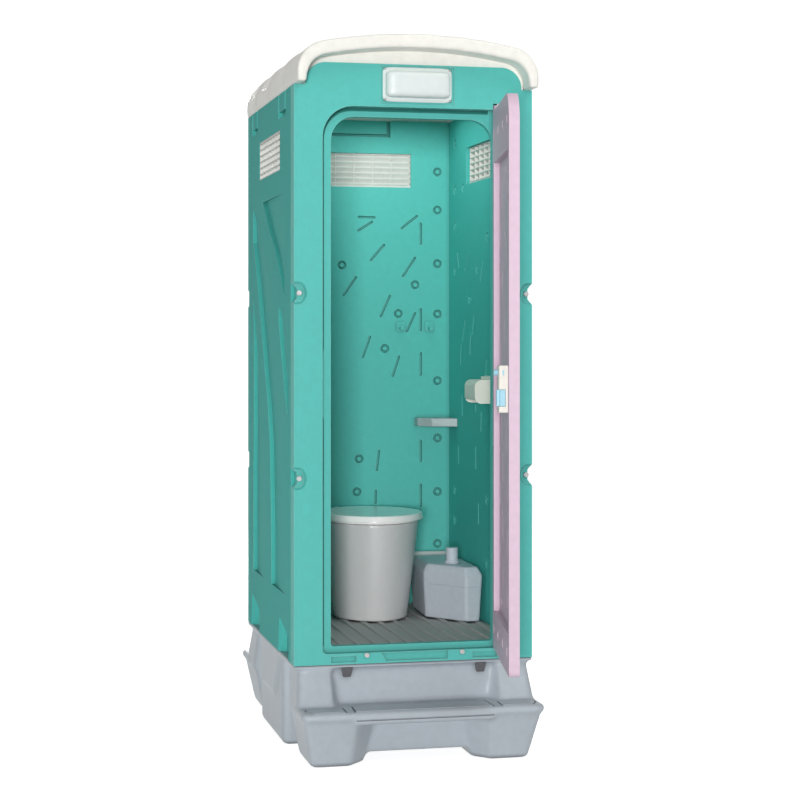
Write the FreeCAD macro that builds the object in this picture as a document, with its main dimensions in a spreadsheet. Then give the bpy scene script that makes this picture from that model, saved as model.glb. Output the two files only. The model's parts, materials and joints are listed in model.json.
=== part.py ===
"""Portable site toilet cabin: moulded walls on a step tank, hinged door, western pedestal with hand-pumped flush.

Millimetres. +X is the user's right facing the door, +Y goes in through the doorway, +Z is up.
Every length below is read from the sheet "Sizes"; y lengths are counted from the front face of the walls
and z lengths from the deck on which the walls stand. The origin lies on the ground, under the middle of
the whole object as it stands with its door ajar.
"""
import FreeCAD, Part
import os
import re
import Sketcher

Vector = FreeCAD.Vector
Rotation = FreeCAD.Rotation

doc = FreeCAD.newDocument("portable_toilet_cabin")
sheet = doc.addObject("Spreadsheet::Sheet", "Sizes")

# Driving sizes: name, value or formula, meaning
SIZES = [
    ("cabin_width", 870, "outside width over the side walls"),
    ("cabin_depth", 1100, "outside depth, front face to back face"),
    ("deck_height", 340, "ground to the deck of the tank"),
    ("wall_height", 2043, "deck to the top of the side walls"),
    ("front_height", 2122, "deck to the top of the front wall"),
    ("ridge_height", 2221, "deck to the top of the roof"),
    ("side_wall", 34, "thickness of a side wall"),
    ("front_wall", 66, "thickness of the front wall with its door frame"),
    ("back_wall", 34, "thickness of the back wall"),
    ("half_width", "=cabin_width / 2", "middle to the outside of a side wall"),
    ("room_half", "=half_width - side_wall", "middle to the inside of a side wall"),
    ("room_back", "=cabin_depth - back_wall", "front face to the inside of the back wall"),
    ("rebate_half", 333, "half the width of the door's rebate"),
    ("rebate_low", 38, "bottom of the rebate"),
    ("rebate_high", 1970, "top of the rebate"),
    ("rebate_depth", 36, "depth of the rebate"),
    ("rebate_round", 113, "corner radius of the rebate"),
    ("opening_half", 297, "half the width of the doorway"),
    ("opening_low", 59, "sill of the doorway"),
    ("opening_high", 1936, "head of the doorway"),
    ("opening_round", 87, "upper corner radius of the doorway"),
    ("hinge_notch", 22, "height of the notch over the rebate for the hinge"),
    ("notch_width", 44, "width of that notch"),
    ("pin_x", 310, "hinge axis, from the middle"),
    ("pin_y", 13.5, "hinge axis, behind the front face"),
    ("pin_radius", 6, "radius of a hinge pin"),
    ("pin_play", 0.05, "radial clearance of a pin in its bush"),
    ("bush_radius", 10, "outer radius of a hinge bush"),
    ("bush_length", 24, "length of a hinge bush"),
    ("leaf_left", -327, "free edge of the shut door"),
    ("leaf_low", 41, "bottom of the door leaf"),
    ("leaf_high", 1963, "top of the door leaf"),
    ("leaf_thick", 35, "thickness of the door leaf"),
    ("leaf_round", 108, "corner radius of the leaf at its top free corner"),
    ("leaf_out", "=pin_y - leaf_thick / 2", "outer face of the shut leaf"),
    ("leaf_in", "=pin_y + leaf_thick / 2", "inner face of the shut leaf"),
    ("rim_width", 42, "rim round the recess of the leaf"),
    ("recess_depth", 20, "depth of that recess"),
    ("recess_low", 176, "bottom of that recess"),
    ("recess_high", 1776, "top of that recess"),
    ("door_angle", 79, "how far the door stands open at rest"),
    ("ledge_reach", 174, "how far the step reaches out from the walls"),
    ("ledge_top", -139, "tread of the step, from the deck"),
    ("ledge_thick", 30, "thickness of the step"),
    ("door_reach", "=(pin_x - leaf_left) * sin(door_angle) + leaf_thick / 2 * cos(door_angle) - pin_y",
     "how far the open door reaches out from the walls"),
    ("front_y", "=(door_reach - cabin_depth - ledge_reach) / 2", "front face of the walls, from the origin"),
]

ALIASES = {name for name, size, note in SIZES}


def fill_sheet():
    for row, (name, size, note) in enumerate(SIZES, start=1):
        sheet.set("A%d" % row, note)
        sheet.set("B%d" % row, str(size))
        sheet.setAlias("B%d" % row, name)
    doc.recompute()


fill_sheet()


def named(text):
    """An expression in which the sheet's names are written for another object."""
    def full(word):
        return "Sizes." + word.group(0) if word.group(0) in ALIASES else word.group(0)
    return re.sub(r"[a-z][a-z0-9_]*", full, str(text))


def number(text):
    """The value of an expression, in millimetres or degrees."""
    if isinstance(text, (int, float)):
        return float(text)
    return float(sheet.evalExpression(named(text)))


def bind(item, **expressions):
    for prop, text in expressions.items():
        item.setExpression(prop, named(text))


def place(item, x, y, z):
    """Puts an object at cabin coordinates: y from the front face, z from the deck."""
    item.setExpression(".Placement.Base.x", named(x))
    item.setExpression(".Placement.Base.y", named("front_y + (%s)" % y))
    item.setExpression(".Placement.Base.z", named("deck_height + (%s)" % z))


TURNS = {
    "x": Rotation(Vector(0, 1, 0), 90),
    "y": Rotation(Vector(1, 0, 0), -90),
    "z": Rotation(),
}


def box(name, x, y, z):
    """A block between two x, two y and two z values."""
    item = doc.addObject("Part::Box", name)
    bind(item, Length="(%s) - (%s)" % (x[1], x[0]))
    bind(item, Width="(%s) - (%s)" % (y[1], y[0]))
    bind(item, Height="(%s) - (%s)" % (z[1], z[0]))
    place(item, x[0], y[0], z[0])
    return item


def rod(name, axis, start, radius, length):
    """A round bar that runs from start along +x, +y or +z."""
    item = doc.addObject("Part::Cylinder", name)
    bind(item, Radius=radius, Height=length)
    item.Placement.Rotation = TURNS[axis]
    place(item, *start)
    return item


def taper(name, low, high, z):
    """A block whose plan changes from low to high, each (x0, x1, y0, y1)."""
    item = doc.addObject("Part::Wedge", name)
    bind(item, Xmin=low[0], Xmax=low[1], X2min=high[0], X2max=high[1])
    bind(item, Zmin="-(%s)" % low[3], Zmax="-(%s)" % low[2])
    bind(item, Z2min="-(%s)" % high[3], Z2max="-(%s)" % high[2])
    bind(item, Ymin=z[0], Ymax=z[1])
    item.Placement.Rotation = Rotation(Vector(1, 0, 0), 90)
    place(item, 0, 0, 0)
    return item


def fuse(name, *items):
    item = doc.addObject("Part::MultiFuse", name)
    item.Shapes = list(items)
    item.Refine = True
    return item


def cut(name, base, *tools):
    item = doc.addObject("Part::Cut", name)
    item.Base = base
    item.Tool = tools[0] if len(tools) == 1 else fuse(name + "_tools", *tools)
    item.Refine = True
    return item


def common(name, one, other):
    item = doc.addObject("Part::Common", name)
    item.Base = one
    item.Tool = other
    item.Refine = True
    return item


def group(name, *items):
    """Loose pieces that are one node, such as identical fasteners."""
    item = doc.addObject("Part::Compound", name)
    item.Links = list(items)
    return item


def round_edges(name, base, radius, wanted):
    """Rounds the edges of base whose middle, in cabin coordinates, passes the test wanted(x, y, z, along)."""
    doc.recompute()
    item = doc.addObject("Part::Fillet", name)
    item.Base = base
    reach = number(radius)
    chosen = []
    for index, edge in enumerate(base.Shape.Edges, start=1):
        ends = edge.Vertexes
        middle = edge.valueAt((edge.FirstParameter + edge.LastParameter) / 2)
        along = (ends[-1].Point - ends[0].Point) if len(ends) == 2 else Vector()
        if wanted(middle.x, middle.y - number("front_y"), middle.z - number("deck_height"), along):
            chosen.append((index, reach, reach))
    item.Edges = chosen
    return item


PLANES = {
    "front": (Rotation(Vector(1, 0, 0), 90), Vector(0, 1, 0)),
    "side": (Rotation(0.5, 0.5, 0.5, 0.5), Vector(1, 0, 0)),
    "plan": (Rotation(), Vector(0, 0, 1)),
}


def slab(name, plane, points, start, depth):
    """A plate of polygonal outline: points lie in the plane, the plate runs from start for depth."""
    turn, direction = PLANES[plane]
    sketch = doc.addObject("Sketcher::SketchObject", name + "_outline")
    sketch.Placement.Rotation = turn
    corner = [Vector(number(a), number(b), 0) for a, b in points]
    for index, point in enumerate(corner):
        sketch.addGeometry(Part.LineSegment(point, corner[(index + 1) % len(corner)]), False)
    for index, (a, b) in enumerate(points):
        sketch.addConstraint(Sketcher.Constraint("Coincident", index, 2, (index + 1) % len(corner), 1))
        for kind, text, size in (("DistanceX", a, corner[index].x), ("DistanceY", b, corner[index].y)):
            row = sketch.addConstraint(Sketcher.Constraint(kind, -1, 1, index, 1, size))
            if not isinstance(text, (int, float)):
                sketch.setExpression("Constraints[%d]" % row, named(text))
    place(sketch, *{"front": (0, start, 0), "side": (start, 0, 0), "plan": (0, 0, start)}[plane])
    item = doc.addObject("Part::Extrusion", name)
    item.Base = sketch
    item.DirMode = "Custom"
    item.Dir = direction
    item.Solid = True
    bind(item, LengthFwd=depth)
    return item


def plan_solid(name, sections):
    """A solid with flat sides through level outlines, each z with its corners as (x, y)."""
    rings = []
    for z, corners in sections:
        level = number(z) + number("deck_height")
        rings.append([Vector(x, y + number("front_y"), level) for x, y in corners])
    loops = [rings[0][::-1], rings[-1]]
    for low, high in zip(rings, rings[1:]):
        for i, start in enumerate(low):
            j = (i + 1) % len(low)
            loops.append([start, low[j], high[j], high[i]])
    shell = Part.Shell([Part.Face(Part.makePolygon(loop + loop[:1])) for loop in loops])
    shell.sewShape()
    item = doc.addObject("Part::Feature", name)
    item.Shape = Part.Solid(shell)
    return item


def mirrored(name, item, axis):
    """The mirror image of an object, left to right or front to back."""
    twin = doc.addObject("Part::Mirroring", name)
    twin.Source = item
    twin.Normal = Vector(1, 0, 0) if axis == "x" else Vector(0, 1, 0)
    bind(twin, **{".Base.y": "front_y + cabin_depth / 2"})
    return twin


def four_corners(name, item):
    """An object at the front right of the tank with its three mirror images."""
    left = mirrored(name + "_left", item, "x")
    return [item, left, mirrored(name + "_rear_right", item, "y"), mirrored(name + "_rear_left", left, "y")]


NODES = []


def node(item, label):
    """Marks an object as a sub-part of the product and gives it the name of its file."""
    item.Label = label
    NODES.append(item)
    return item


def both_sides(x0, x1):
    """The two x spans that mirror each other about the middle."""
    return (("right", (x0, x1)), ("left", ("-(%s)" % x1, "-(%s)" % x0)))


# Tank with step, back ledge and feet

OUTLET = {"y": "cabin_depth + 98", "hinge_y": "cabin_depth + 31", "hinge_z": "ledge_top + 37"}


# Plans of the front right corner of the tank: level, corners from the front inner one anticlockwise
COLUMN_PLANS = [
    ("ledge_top - ledge_thick", [(305, -67), (433, -67), (433, 147), (269, 147), (269, 5)]),
    (-12, [(306, 4), (418, 4), (418, 184), (297, 184), (297, 22)]),
]
FOOT_PLANS = [
    ("-deck_height", [(250, -98), (392, -98), (392, 150), (196, 150), (196, -38)]),
    ("ledge_top - ledge_thick", [(240, -160), (425, -160), (425, 152), (132, 152), (132, -40)]),
]

# Raised pads of the tread, (x, y)
TREAD_PADS = {
    "mid": [(-248, -158), (248, -158), (240, -46), (-240, -46)],
    "right": [(279, -156), (392, -156), (412, -118), (412, -78), (279, -78)],
    "left": [(-279, -78), (-412, -78), (-412, -118), (-392, -156), (-279, -156)],
}


def make_step():
    """The ledge along the front, with its rounded nosing, lower lobe and tread pads."""
    low = "ledge_top - ledge_thick"
    plank = box("tread_block", (-436, 436), ("-ledge_reach", 20), (low, "ledge_top"))
    plank = round_edges("tread_corners", plank, 34, lambda x, y, z, along: abs(along.z) > 1 and y < -100)
    plank = round_edges("tread_nosing", plank, 13, lambda x, y, z, along: y < 10)
    lobe = box("lobe_block", (-251, 251), ("1 - ledge_reach", -110), ("(%s) - 16" % low, "ledge_top - 12"))
    lobe = round_edges("lobe_round", lobe, 12, lambda x, y, z, along: y < -112)
    pads = [slab("tread_pad_" + name, "plan", points, "ledge_top - 2", 5) for name, points in TREAD_PADS.items()]
    return [plank, lobe] + pads


def make_tank():
    low = "ledge_top - ledge_thick"
    deck = box("tank_deck", ("-half_width - 3", "half_width + 3"), (-3, "cabin_depth + 3"), (-12, 0))
    deck = round_edges("deck_round", deck, 4, lambda x, y, z, along: z > -1)
    core = taper("tank_core", (-362, 362, 5, "cabin_depth - 5"), (-362, 362, 22, "cabin_depth - 22"), (low, -12))
    belly = taper("tank_belly", (-330, 330, -46, "cabin_depth + 46"), (-362, 362, -58, "cabin_depth + 58"),
                  ("36 - deck_height", low))
    column = plan_solid("column_block", COLUMN_PLANS)
    column = round_edges("column", column, 30, lambda x, y, z, along: abs(along.z) > 50 and x > 400)
    foot = plan_solid("foot_block", FOOT_PLANS)
    foot = round_edges("foot", foot, 22, lambda x, y, z, along: z < 1 - number("deck_height") or
                       (abs(along.z) > 50 and (x > 380 or y < -90)))
    skid = box("skid_block", (250, 425), (297, 812), ("-deck_height", -12))
    skid = round_edges("skid", skid, 22, lambda x, y, z, along: z < 1 - number("deck_height") or
                       (abs(along.z) > 50 and x > 400))
    boss = slab("boss_block", "side", [(330, -13), (765, -13), (765, -176), (452, -176)], 415, 20)
    boss = round_edges("boss", boss, 5, lambda x, y, z, along: x > 434)
    well = rod("outlet_well", "z", (0, OUTLET["y"], "(%s) - 60" % low), 44, 200)
    seat = rod("outlet_seat", "z", (0, OUTLET["y"], "ledge_top"), 61, 10)
    apron = box("outlet_apron", (-31, 31), ("%s - 12" % OUTLET["hinge_y"], OUTLET["y"]), ("ledge_top", "ledge_top + 10"))
    step = fuse("step", *make_step())
    parts = [deck, core, belly, step, mirrored("step_rear", step, "y")]
    parts += four_corners("column", column)
    parts += four_corners("foot", foot)
    for name, item in (("skid", skid), ("boss", boss)):
        parts += [item, mirrored(name + "_left", item, "x")]
    node(cut("tank_whole", fuse("tank", *parts), well, seat, apron), "base_tank")


def make_floor():
    plate = box("floor_plate", ("-room_half", "room_half"), ("front_wall", "room_back"), (0, 53))
    ribs = []
    count = 13
    for index in range(count):
        x = "(%d - %d / 2) * room_half * 2 / %d" % (index, count - 1, count)
        ribs.append(box("floor_rib_%d" % index, ("%s - 9" % x, "%s + 9" % x),
                        ("front_wall", "room_back"), (53, "opening_low")))
    node(fuse("floor", plate, *ribs), "floor_pan")


# Walls

def make_front():
    shoulder = 74
    face = slab("front_face", "front",
                [("-half_width", 0), ("half_width", 0), ("half_width", "wall_height"),
                 ("room_half - 6", "wall_height"), ("room_half - 6", "front_height"),
                 ("6 - room_half", "front_height"), ("6 - room_half", "wall_height"),
                 ("-half_width", "wall_height")], 0, "front_wall")
    face = round_edges("front_shoulders", face, shoulder,
                       lambda x, y, z, along: abs(along.y) > 1 and z > number("front_height") - 1)
    rebate = slab("rebate_cut", "front",
                  [("-rebate_half", "rebate_low"), ("rebate_half", "rebate_low"),
                   ("rebate_half", "rebate_high + hinge_notch"),
                   ("rebate_half - notch_width", "rebate_high + hinge_notch"),
                   ("rebate_half - notch_width", "rebate_high"), ("-rebate_half", "rebate_high")],
                  -1, "rebate_depth + 1")
    rebate = round_edges("rebate_corner", rebate, "rebate_round",
                         lambda x, y, z, along: abs(along.y) > 1 and x < 0 and z > number("rebate_high") - 1)
    rebate = round_edges("rebate_foot", rebate, 18,
                         lambda x, y, z, along: abs(along.y) > 1 and x < 0 and z < number("rebate_low") + 1)
    doorway = box("doorway_cut", ("-opening_half", "opening_half"), (-1, "front_wall + 1"),
                  ("opening_low", "opening_high"))
    doorway = round_edges("doorway_corners", doorway, "opening_round",
                          lambda x, y, z, along: abs(along.y) > 1 and z > number("opening_high") - 1)
    doorway = round_edges("doorway_foot", doorway, 12,
                          lambda x, y, z, along: abs(along.y) > 1 and z < number("opening_low") + 1)
    sockets = [rod("bush_hole_" + end, "z", ("pin_x", "pin_y", z), "bush_radius", "bush_length")
               for end, z in (("top", "rebate_high + hinge_notch"), ("bottom", "rebate_low - bush_length"))]
    keeper = box("keeper_cut", ("-opening_half - 30", "1 - opening_half"), KEEPER_Y, (915, 1060))
    lamp = box("lamp_cut", (-116, 136), (-1, 6), (1989, 2112))
    lamp_pad = box("lamp_pad_cut", (-125, 145), (-1, 3), (1980, 2117))
    sill = [slab("sill_cut_mid", "front", [(-104, 7), (121, 7), (121, 36), (-121, 36)], -1, 9),
            box("sill_cut_left", (-303, -212), (-1, 8), (7, 29)),
            box("sill_cut_right", (212, 303), (-1, 8), (7, 29))]
    screws = [rod("sill_hole_%d" % x, "y", (x, -1, 30), 4, 21) for x in (-174, 174)]
    hollow = cut("front_cut", face, rebate, doorway, keeper, lamp, lamp_pad, *sockets, *sill, *screws, *bolt_cuts("front"))
    node(round_edges("front", hollow, 3,
                     lambda x, y, z, along: abs(y) < 0.1 and abs(x - number("rebate_half")) < 1 and
                     abs(along.z) > 900), "front_panel")


BOLT_HEIGHTS = (657, 1309)
BOLT_INSET = 20


def bolt_cuts(where):
    """Pockets for the corner bolts in the front or back wall, each with a notch in the corner beside it."""
    cuts = []
    inner, outer = (-1, 14) if where == "front" else ("cabin_depth - 14", "cabin_depth + 1")
    start, through = (-1, "front_wall + 1") if where == "front" else ("room_back", "back_wall + 1")
    for side, sign in (("right", 1), ("left", -1)):
        for z in BOLT_HEIGHTS:
            corner = number("half_width")
            notch = [(sign * (corner + 1), z - 36), (sign * (corner + 1), z + 36),
                     (sign * (corner - 13), z + 18), (sign * (corner - 13), z - 18)]
            cuts.append(slab("notch_%s_%s_%d" % (where, side, z), "front", notch, start, through))
    for side, x in both_sides("half_width - 36", "half_width + 1"):
        for z in BOLT_HEIGHTS:
            pocket = box("pocket_%s_%s_%d" % (where, side, z), x, (inner, outer), (z - 29, z + 29))
            cuts.append(round_edges("pocket_round_%s_%s_%d" % (where, side, z), pocket, 20,
                                    lambda x, y, z, along: abs(along.y) > 1 and abs(x) < number("half_width") - 20))
    return cuts


def make_side(side):
    out, sign = ("half_width", 1) if side == "right" else ("-half_width", -1)
    span = ("room_half", "half_width") if side == "right" else ("-half_width", "-room_half")
    wall = box("wall_" + side, span, ("front_wall", "room_back"), (0, "wall_height"))
    cuts = [box("vent_cut_" + side, ("%s - 40" % out, "%s + 40" % out), (306, 791), (1765, 1912))]
    shallow = ("%s - 16" % out, "%s + 16" % out)
    for end, y in (("fore", (177, 339)), ("aft", (839, 976))):
        pad = (y[0] + 22, y[1] - 22)
        for part, edge in (("a", (y[0], pad[0])), ("b", (pad[1], y[1]))):
            cuts.append(box("tongue_cut_%s_%s_%s" % (end, part, side), shallow, edge, (1955, "wall_height + 1")))
        cuts.append(box("tongue_cut_%s_c_%s" % (end, side), shallow, pad, (1955, 1977)))
    cuts += [swept_cut(name, levels, side, sign) for name, levels in SWEEPS.items()]
    cuts += [flare_cut(name, levels, side, sign) for name, levels in FLARES.items()]
    node(cut("side_" + side, wall, *cuts), side + "_panel")


# Swept recesses of a side wall. Levels: z, y where the floor runs out to the face, y of the steep edge
SWEEPS = {
    "upper": [(1298, 200, 212), (1369, 204, 288), (1472, 210, 409), (1545, 214, 535), (1600, 218, 610),
              (1675, 221, 716)],
    "long": [(226, 178, 503), (431, 180, 503), (560, 196, 513), (761, 230, 538), (900, 276, 587),
             (985, 314, 636), (1131, 392, 712), (1219, 439, 762), (1343, 522, 832), (1454, 640, 895),
             (1528, 730, 955), (1600, 835, 957), (1660, 945, 957)],
    "rear": [(226, 686, 949), (600, 690, 945), (900, 745, 935), (1131, 850, 934), (1300, 938, 949)],
    "short": [(878, 136, 148), (926, 134, 180), (1000, 132, 222), (1059, 138, 256), (1130, 160, 293),
              (1208, 215, 330), (1258, 300, 331)],
}
SWEEP_DEPTH = 16

# Flared pockets at the foot of a side wall. Levels: z, front edge, rear edge, depth
FLARES = {
    "fore": [(-1, 124, 341, 28), (86, 124, 330, 28), (127, 306, 315, 3)],
    "aft": [(-1, 793, 1008, 28), (93, 801, 990, 28), (128, 978, 985, 3)],
}


def wall_loft(name, sections, side, sign):
    """A solid through level sections of a side wall, each z with its corners as (depth, y)."""
    out = number("half_width")
    wires = []
    for z, corners in sections:
        points = [Vector(sign * (out - deep), y + number("front_y"), z + number("deck_height"))
                  for deep, y in corners]
        wires.append(Part.makePolygon(points + points[:1]))
    item = doc.addObject("Part::Feature", "%s_%s" % (name, side))
    item.Shape = Part.makeLoft(wires, True, True)
    return item


def swept_cut(name, levels, side, sign):
    """A recess with a steep rear edge and a floor that slopes out forwards until it meets the face."""
    sections = []
    for z, easy, steep in levels:
        deep = min(SWEEP_DEPTH, (steep - easy) * 0.4)
        over = 2 * (steep - easy) / deep
        sections.append((z, [(-2, easy - over), (-2, steep), (deep, steep)]))
    return wall_loft("sweep_" + name, sections, side, sign)


def flare_cut(name, levels, side, sign):
    """A pocket open at the bottom, with a leaning rear wall."""
    sections = []
    for z, front, rear, deep in levels:
        sections.append((z, [(-2, front - 1), (-2, rear + 2), (deep, rear - deep), (deep, front + deep / 4)]))
    return wall_loft("flare_" + name, sections, side, sign)


def make_back():
    wall = box("back_face", ("-half_width", "half_width"), ("room_back", "cabin_depth"), (0, "wall_height"))
    vent = box("vent_cut_back", (-238, 238), ("room_back - 5", "cabin_depth + 5"), (1770, 1908))
    panels = []
    for side, x in both_sides(40, 350):
        panel = box("back_recess_" + side, x, ("cabin_depth - 12", "cabin_depth + 5"), (180, 1640))
        panels.append(round_edges("back_recess_round_" + side, panel, 70, lambda x, y, z, along: abs(along.y) > 1))
    high = slab("back_high_cut", "front", [(-151, 1976), (151, 1976), (151, 2050), (-151, 2050)], "room_back - 1", 13)
    node(cut("back", wall, vent, high, *panels, *bolt_cuts("back")), "rear_panel")


def vent_grille(name, turn, width, thick, height, cells, drop, centre):
    """A louvred vent: slats that slope down by drop between upright ribs, so that rain and looks stay out."""
    bar, edge = 4, 9
    columns, rows = cells
    plate = Part.makeBox(width, thick, height)
    step_x = (width - 2 * edge + bar) / columns
    step_z = (height - 2 * edge - drop + bar) / rows
    holes = []
    for column in range(columns):
        for row in range(rows):
            x = edge + column * step_x
            z = edge + row * step_z
            sides = [(-1, z + drop), (thick + 1, z), (thick + 1, z + step_z - bar), (-1, z + drop + step_z - bar)]
            corners = [Vector(x, y, level) for y, level in sides]
            face = Part.Face(Part.makePolygon(corners + corners[:1]))
            holes.append(face.extrude(Vector(step_x - bar, 0, 0)))
    item = doc.addObject("Part::Feature", name)
    item.Shape = plate.cut(Part.makeCompound(holes))
    item.Placement = FreeCAD.Placement(centre, turn)
    return node(item, name)


def make_grilles():
    lift = number("deck_height")
    shift = number("front_y")
    inner = number("half_width") - 20
    vent_grille("vent_grille_right", Rotation(Vector(0, 0, 1), 90), 485, 18, 147, (9, 7), 15.3,
                Vector(inner + 18, 306 + shift, 1765 + lift))
    vent_grille("vent_grille_left", Rotation(Vector(0, 0, 1), -90), 485, 18, 147, (9, 7), 15.3,
                Vector(-inner - 18, 791 + shift, 1765 + lift))
    vent_grille("vent_grille_rear", Rotation(Vector(0, 0, 1), 180), 476, 12, 138, (6, 5), 20,
                Vector(238, number("room_back") + 20 + shift, 1770 + lift))


# Roof

ROOF_FRONT = -82


def arch(name, half, top, bend, corner, y):
    """A solid under an arched top: straight sides, rounded shoulders and a wide circular crown."""
    block = box(name + "_block", ("-(%s)" % half, half), y, ("wall_height - 1", top))
    crown = rod(name + "_crown", "y", (0, y[0], "(%s) - (%s)" % (top, bend)), bend,
                "(%s) - (%s)" % (y[1], y[0]))
    whole = common(name + "_arch", block, crown)
    return round_edges(name + "_rounded", whole, corner,
                       lambda x, y, z, along: abs(along.y) > 1 and abs(x) > number(half) - 1 and
                       z > number("wall_height") + 50)


def make_roof():
    span = (ROOF_FRONT, "cabin_depth + 20")
    outer = arch("roof_outer", "half_width + 3", "ridge_height", 1812, 113, span)
    inner = arch("roof_inner", "room_half + 1", "ridge_height - 50", 1762, 82,
                 (ROOF_FRONT - 5, "cabin_depth + 25"))
    bands = []
    for index, y in enumerate((246, 573, 896)):
        hoop = arch("band_outer_%d" % index, "half_width + 8", "ridge_height + 5", 1817, 118, (y - 45, y + 45))
        bands.append(hoop)
    base = box("roof_trim", (-600, 600), (-200, "cabin_depth + 200"), ("wall_height - 60", "wall_height"))
    node(cut("roof_shell", fuse("roof_whole", outer, *bands), inner, base), "roof")
    front = arch("gable_fill_front", "room_half + 1", "ridge_height - 50", 1762, 82, (6, 18))
    node(cut("gable_front", front, doc.getObject("front_shoulders")), "gable_panel_front")
    rear = arch("gable_fill_rear", "room_half + 1", "ridge_height - 50", 1762, 82,
                ("cabin_depth - 18", "cabin_depth - 6"))
    node(cut("gable_rear", rear, doc.getObject("back_face")), "gable_panel_rear")


# Door, modelled shut and turned about its hinge axis to where it stands at rest

def hang(item, label):
    """Turns a piece of the door about the hinge axis and names it."""
    item.setExpression(".Placement.Rotation.Angle", named("door_angle"))
    item.setExpression(".Placement.Base.x", named(
        "pin_x - pin_x * cos(door_angle) + (pin_y + front_y) * sin(door_angle)"))
    item.setExpression(".Placement.Base.y", named(
        "pin_y + front_y - pin_x * sin(door_angle) - (pin_y + front_y) * cos(door_angle)"))
    return node(item, label)


LOCK = {"x": ("leaf_left + 34", "leaf_left + 92"), "z": (906, 1061)}
KEEPER_Y = (39, 61)


def make_door():
    leaf = box("leaf_block", ("leaf_left", "pin_x"), ("leaf_out", "leaf_in"), ("leaf_low", "leaf_high"))
    leaf = round_edges("leaf_corner", leaf, "leaf_round",
                       lambda x, y, z, along: abs(along.y) > 1 and x < 0 and z > number("leaf_high") - 1)
    leaf = round_edges("leaf_foot", leaf, 18,
                       lambda x, y, z, along: abs(along.y) > 1 and x < 0 and z < number("leaf_low") + 1)
    edge = rod("leaf_edge", "z", ("pin_x", "pin_y", "leaf_low"), "leaf_thick / 2",
               "leaf_high + hinge_notch - leaf_low")
    recess = box("leaf_recess", ("leaf_left + rim_width", "pin_x - 46"), ("leaf_in - recess_depth", "leaf_in + 1"),
                 ("recess_low", "recess_high"))
    pad = box("lock_pad", LOCK["x"], ("leaf_out", "leaf_in"), LOCK["z"])
    holes = [rod("pin_hole_" + end, "z", ("pin_x", "pin_y", z), "pin_radius", 60)
             for end, z in (("top", "leaf_high + hinge_notch - 60"), ("bottom", "leaf_low"))]
    body = fuse("leaf_body", cut("leaf_hollowed", fuse("leaf_plain", leaf, edge), recess), pad)
    hang(cut("leaf", body, *holes), "door_leaf")
    pins = [rod("pin_top", "z", ("pin_x", "pin_y", "leaf_high + hinge_notch - 60"), "pin_radius",
                "rebate_high - leaf_high + 60 + bush_length - 3"),
            rod("pin_bottom", "z", ("pin_x", "pin_y", "rebate_low - bush_length + 3"), "pin_radius",
                "leaf_low - rebate_low + bush_length - 3 + 60")]
    hang(group("pins", *pins), "hinge_pins")
    bushes = []
    for end, z in (("top", "rebate_high + hinge_notch"), ("bottom", "rebate_low - bush_length")):
        bush = rod("bush_" + end, "z", ("pin_x", "pin_y", z), "bush_radius", "bush_length")
        bore = rod("bush_bore_" + end, "z", ("pin_x", "pin_y", "(%s) - 1" % z), "pin_radius + pin_play",
                   "bush_length + 2")
        bushes.append(cut("bush_ring_" + end, bush, bore))
    node(group("bushes", *bushes), "hinge_bushes")


def make_lock():
    case = box("case_block", LOCK["x"], ("leaf_in", "leaf_in + 31"), LOCK["z"])
    case = round_edges("case_round", case, 5,
                       lambda x, y, z, along: y > number("leaf_in") + 30)
    slot = box("bolt_way", ("leaf_left + 33", "leaf_left + 80"), ("leaf_in + 12.7", "leaf_in + 18.3"),
               (1028.7, 1046.3))
    knob_way = box("knob_way", ("leaf_left + 44", "leaf_left + 78"), ("leaf_in + 18", "leaf_in + 32"),
                   (1031, 1044))
    catch_way = box("catch_way", ("leaf_left + 33", "leaf_left + 66"), ("leaf_in + 8", "leaf_in + 32"),
                    (926, 982))
    hang(cut("case", case, slot, knob_way, catch_way), "lock_case")
    tongue = box("bolt_bar", ("leaf_left + 35", "leaf_left + 61"), ("leaf_in + 13", "leaf_in + 18"), (1029, 1046))
    stem = rod("bolt_stem", "y", ("leaf_left + 67", "leaf_in + 15.5", 1037.5), 5, 20)
    web = box("bolt_web", ("leaf_left + 55", "leaf_left + 72"), ("leaf_in + 13", "leaf_in + 18"), (1031.5, 1043.5))
    knob = rod("bolt_knob", "y", ("leaf_left + 67", "leaf_in + 32", 1037.5), 10, 13)
    hang(fuse("bolt", tongue, web, stem, knob), "lock_bolt")
    nose = box("catch_nose", ("leaf_left + 36", "leaf_left + 65.5"), ("leaf_in + 8.5", "leaf_in + 27"),
               (926.5, 981.5))
    grip = box("catch_grip", ("leaf_left + 47", "leaf_left + 65.5"), ("leaf_in + 20", "leaf_in + 37"),
               (926.5, 981.5))
    grip = round_edges("catch_round", grip, 3, lambda x, y, z, along: y > number("leaf_in") + 36)
    hang(fuse("catch", nose, grip), "door_catch")
    plate = box("plate_block", ("leaf_left + 30", "leaf_left + 100"), ("leaf_out - 3", "leaf_out"), LOCK["z"])
    plate = round_edges("plate_round", plate, 12, lambda x, y, z, along: abs(along.y) > 1)
    window = box("plate_window", ("leaf_left + 50", "leaf_left + 80"), ("leaf_out - 4", "leaf_out + 1"),
                 (1030, 1045))
    hang(cut("plate", plate, window), "outer_plate")
    keeper = box("keeper_block", ("-opening_half - 30", "-opening_half - 27"), KEEPER_Y, (915, 1060))
    node(group("keeper", keeper), "lock_keeper")


# Lamp over the door

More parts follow.
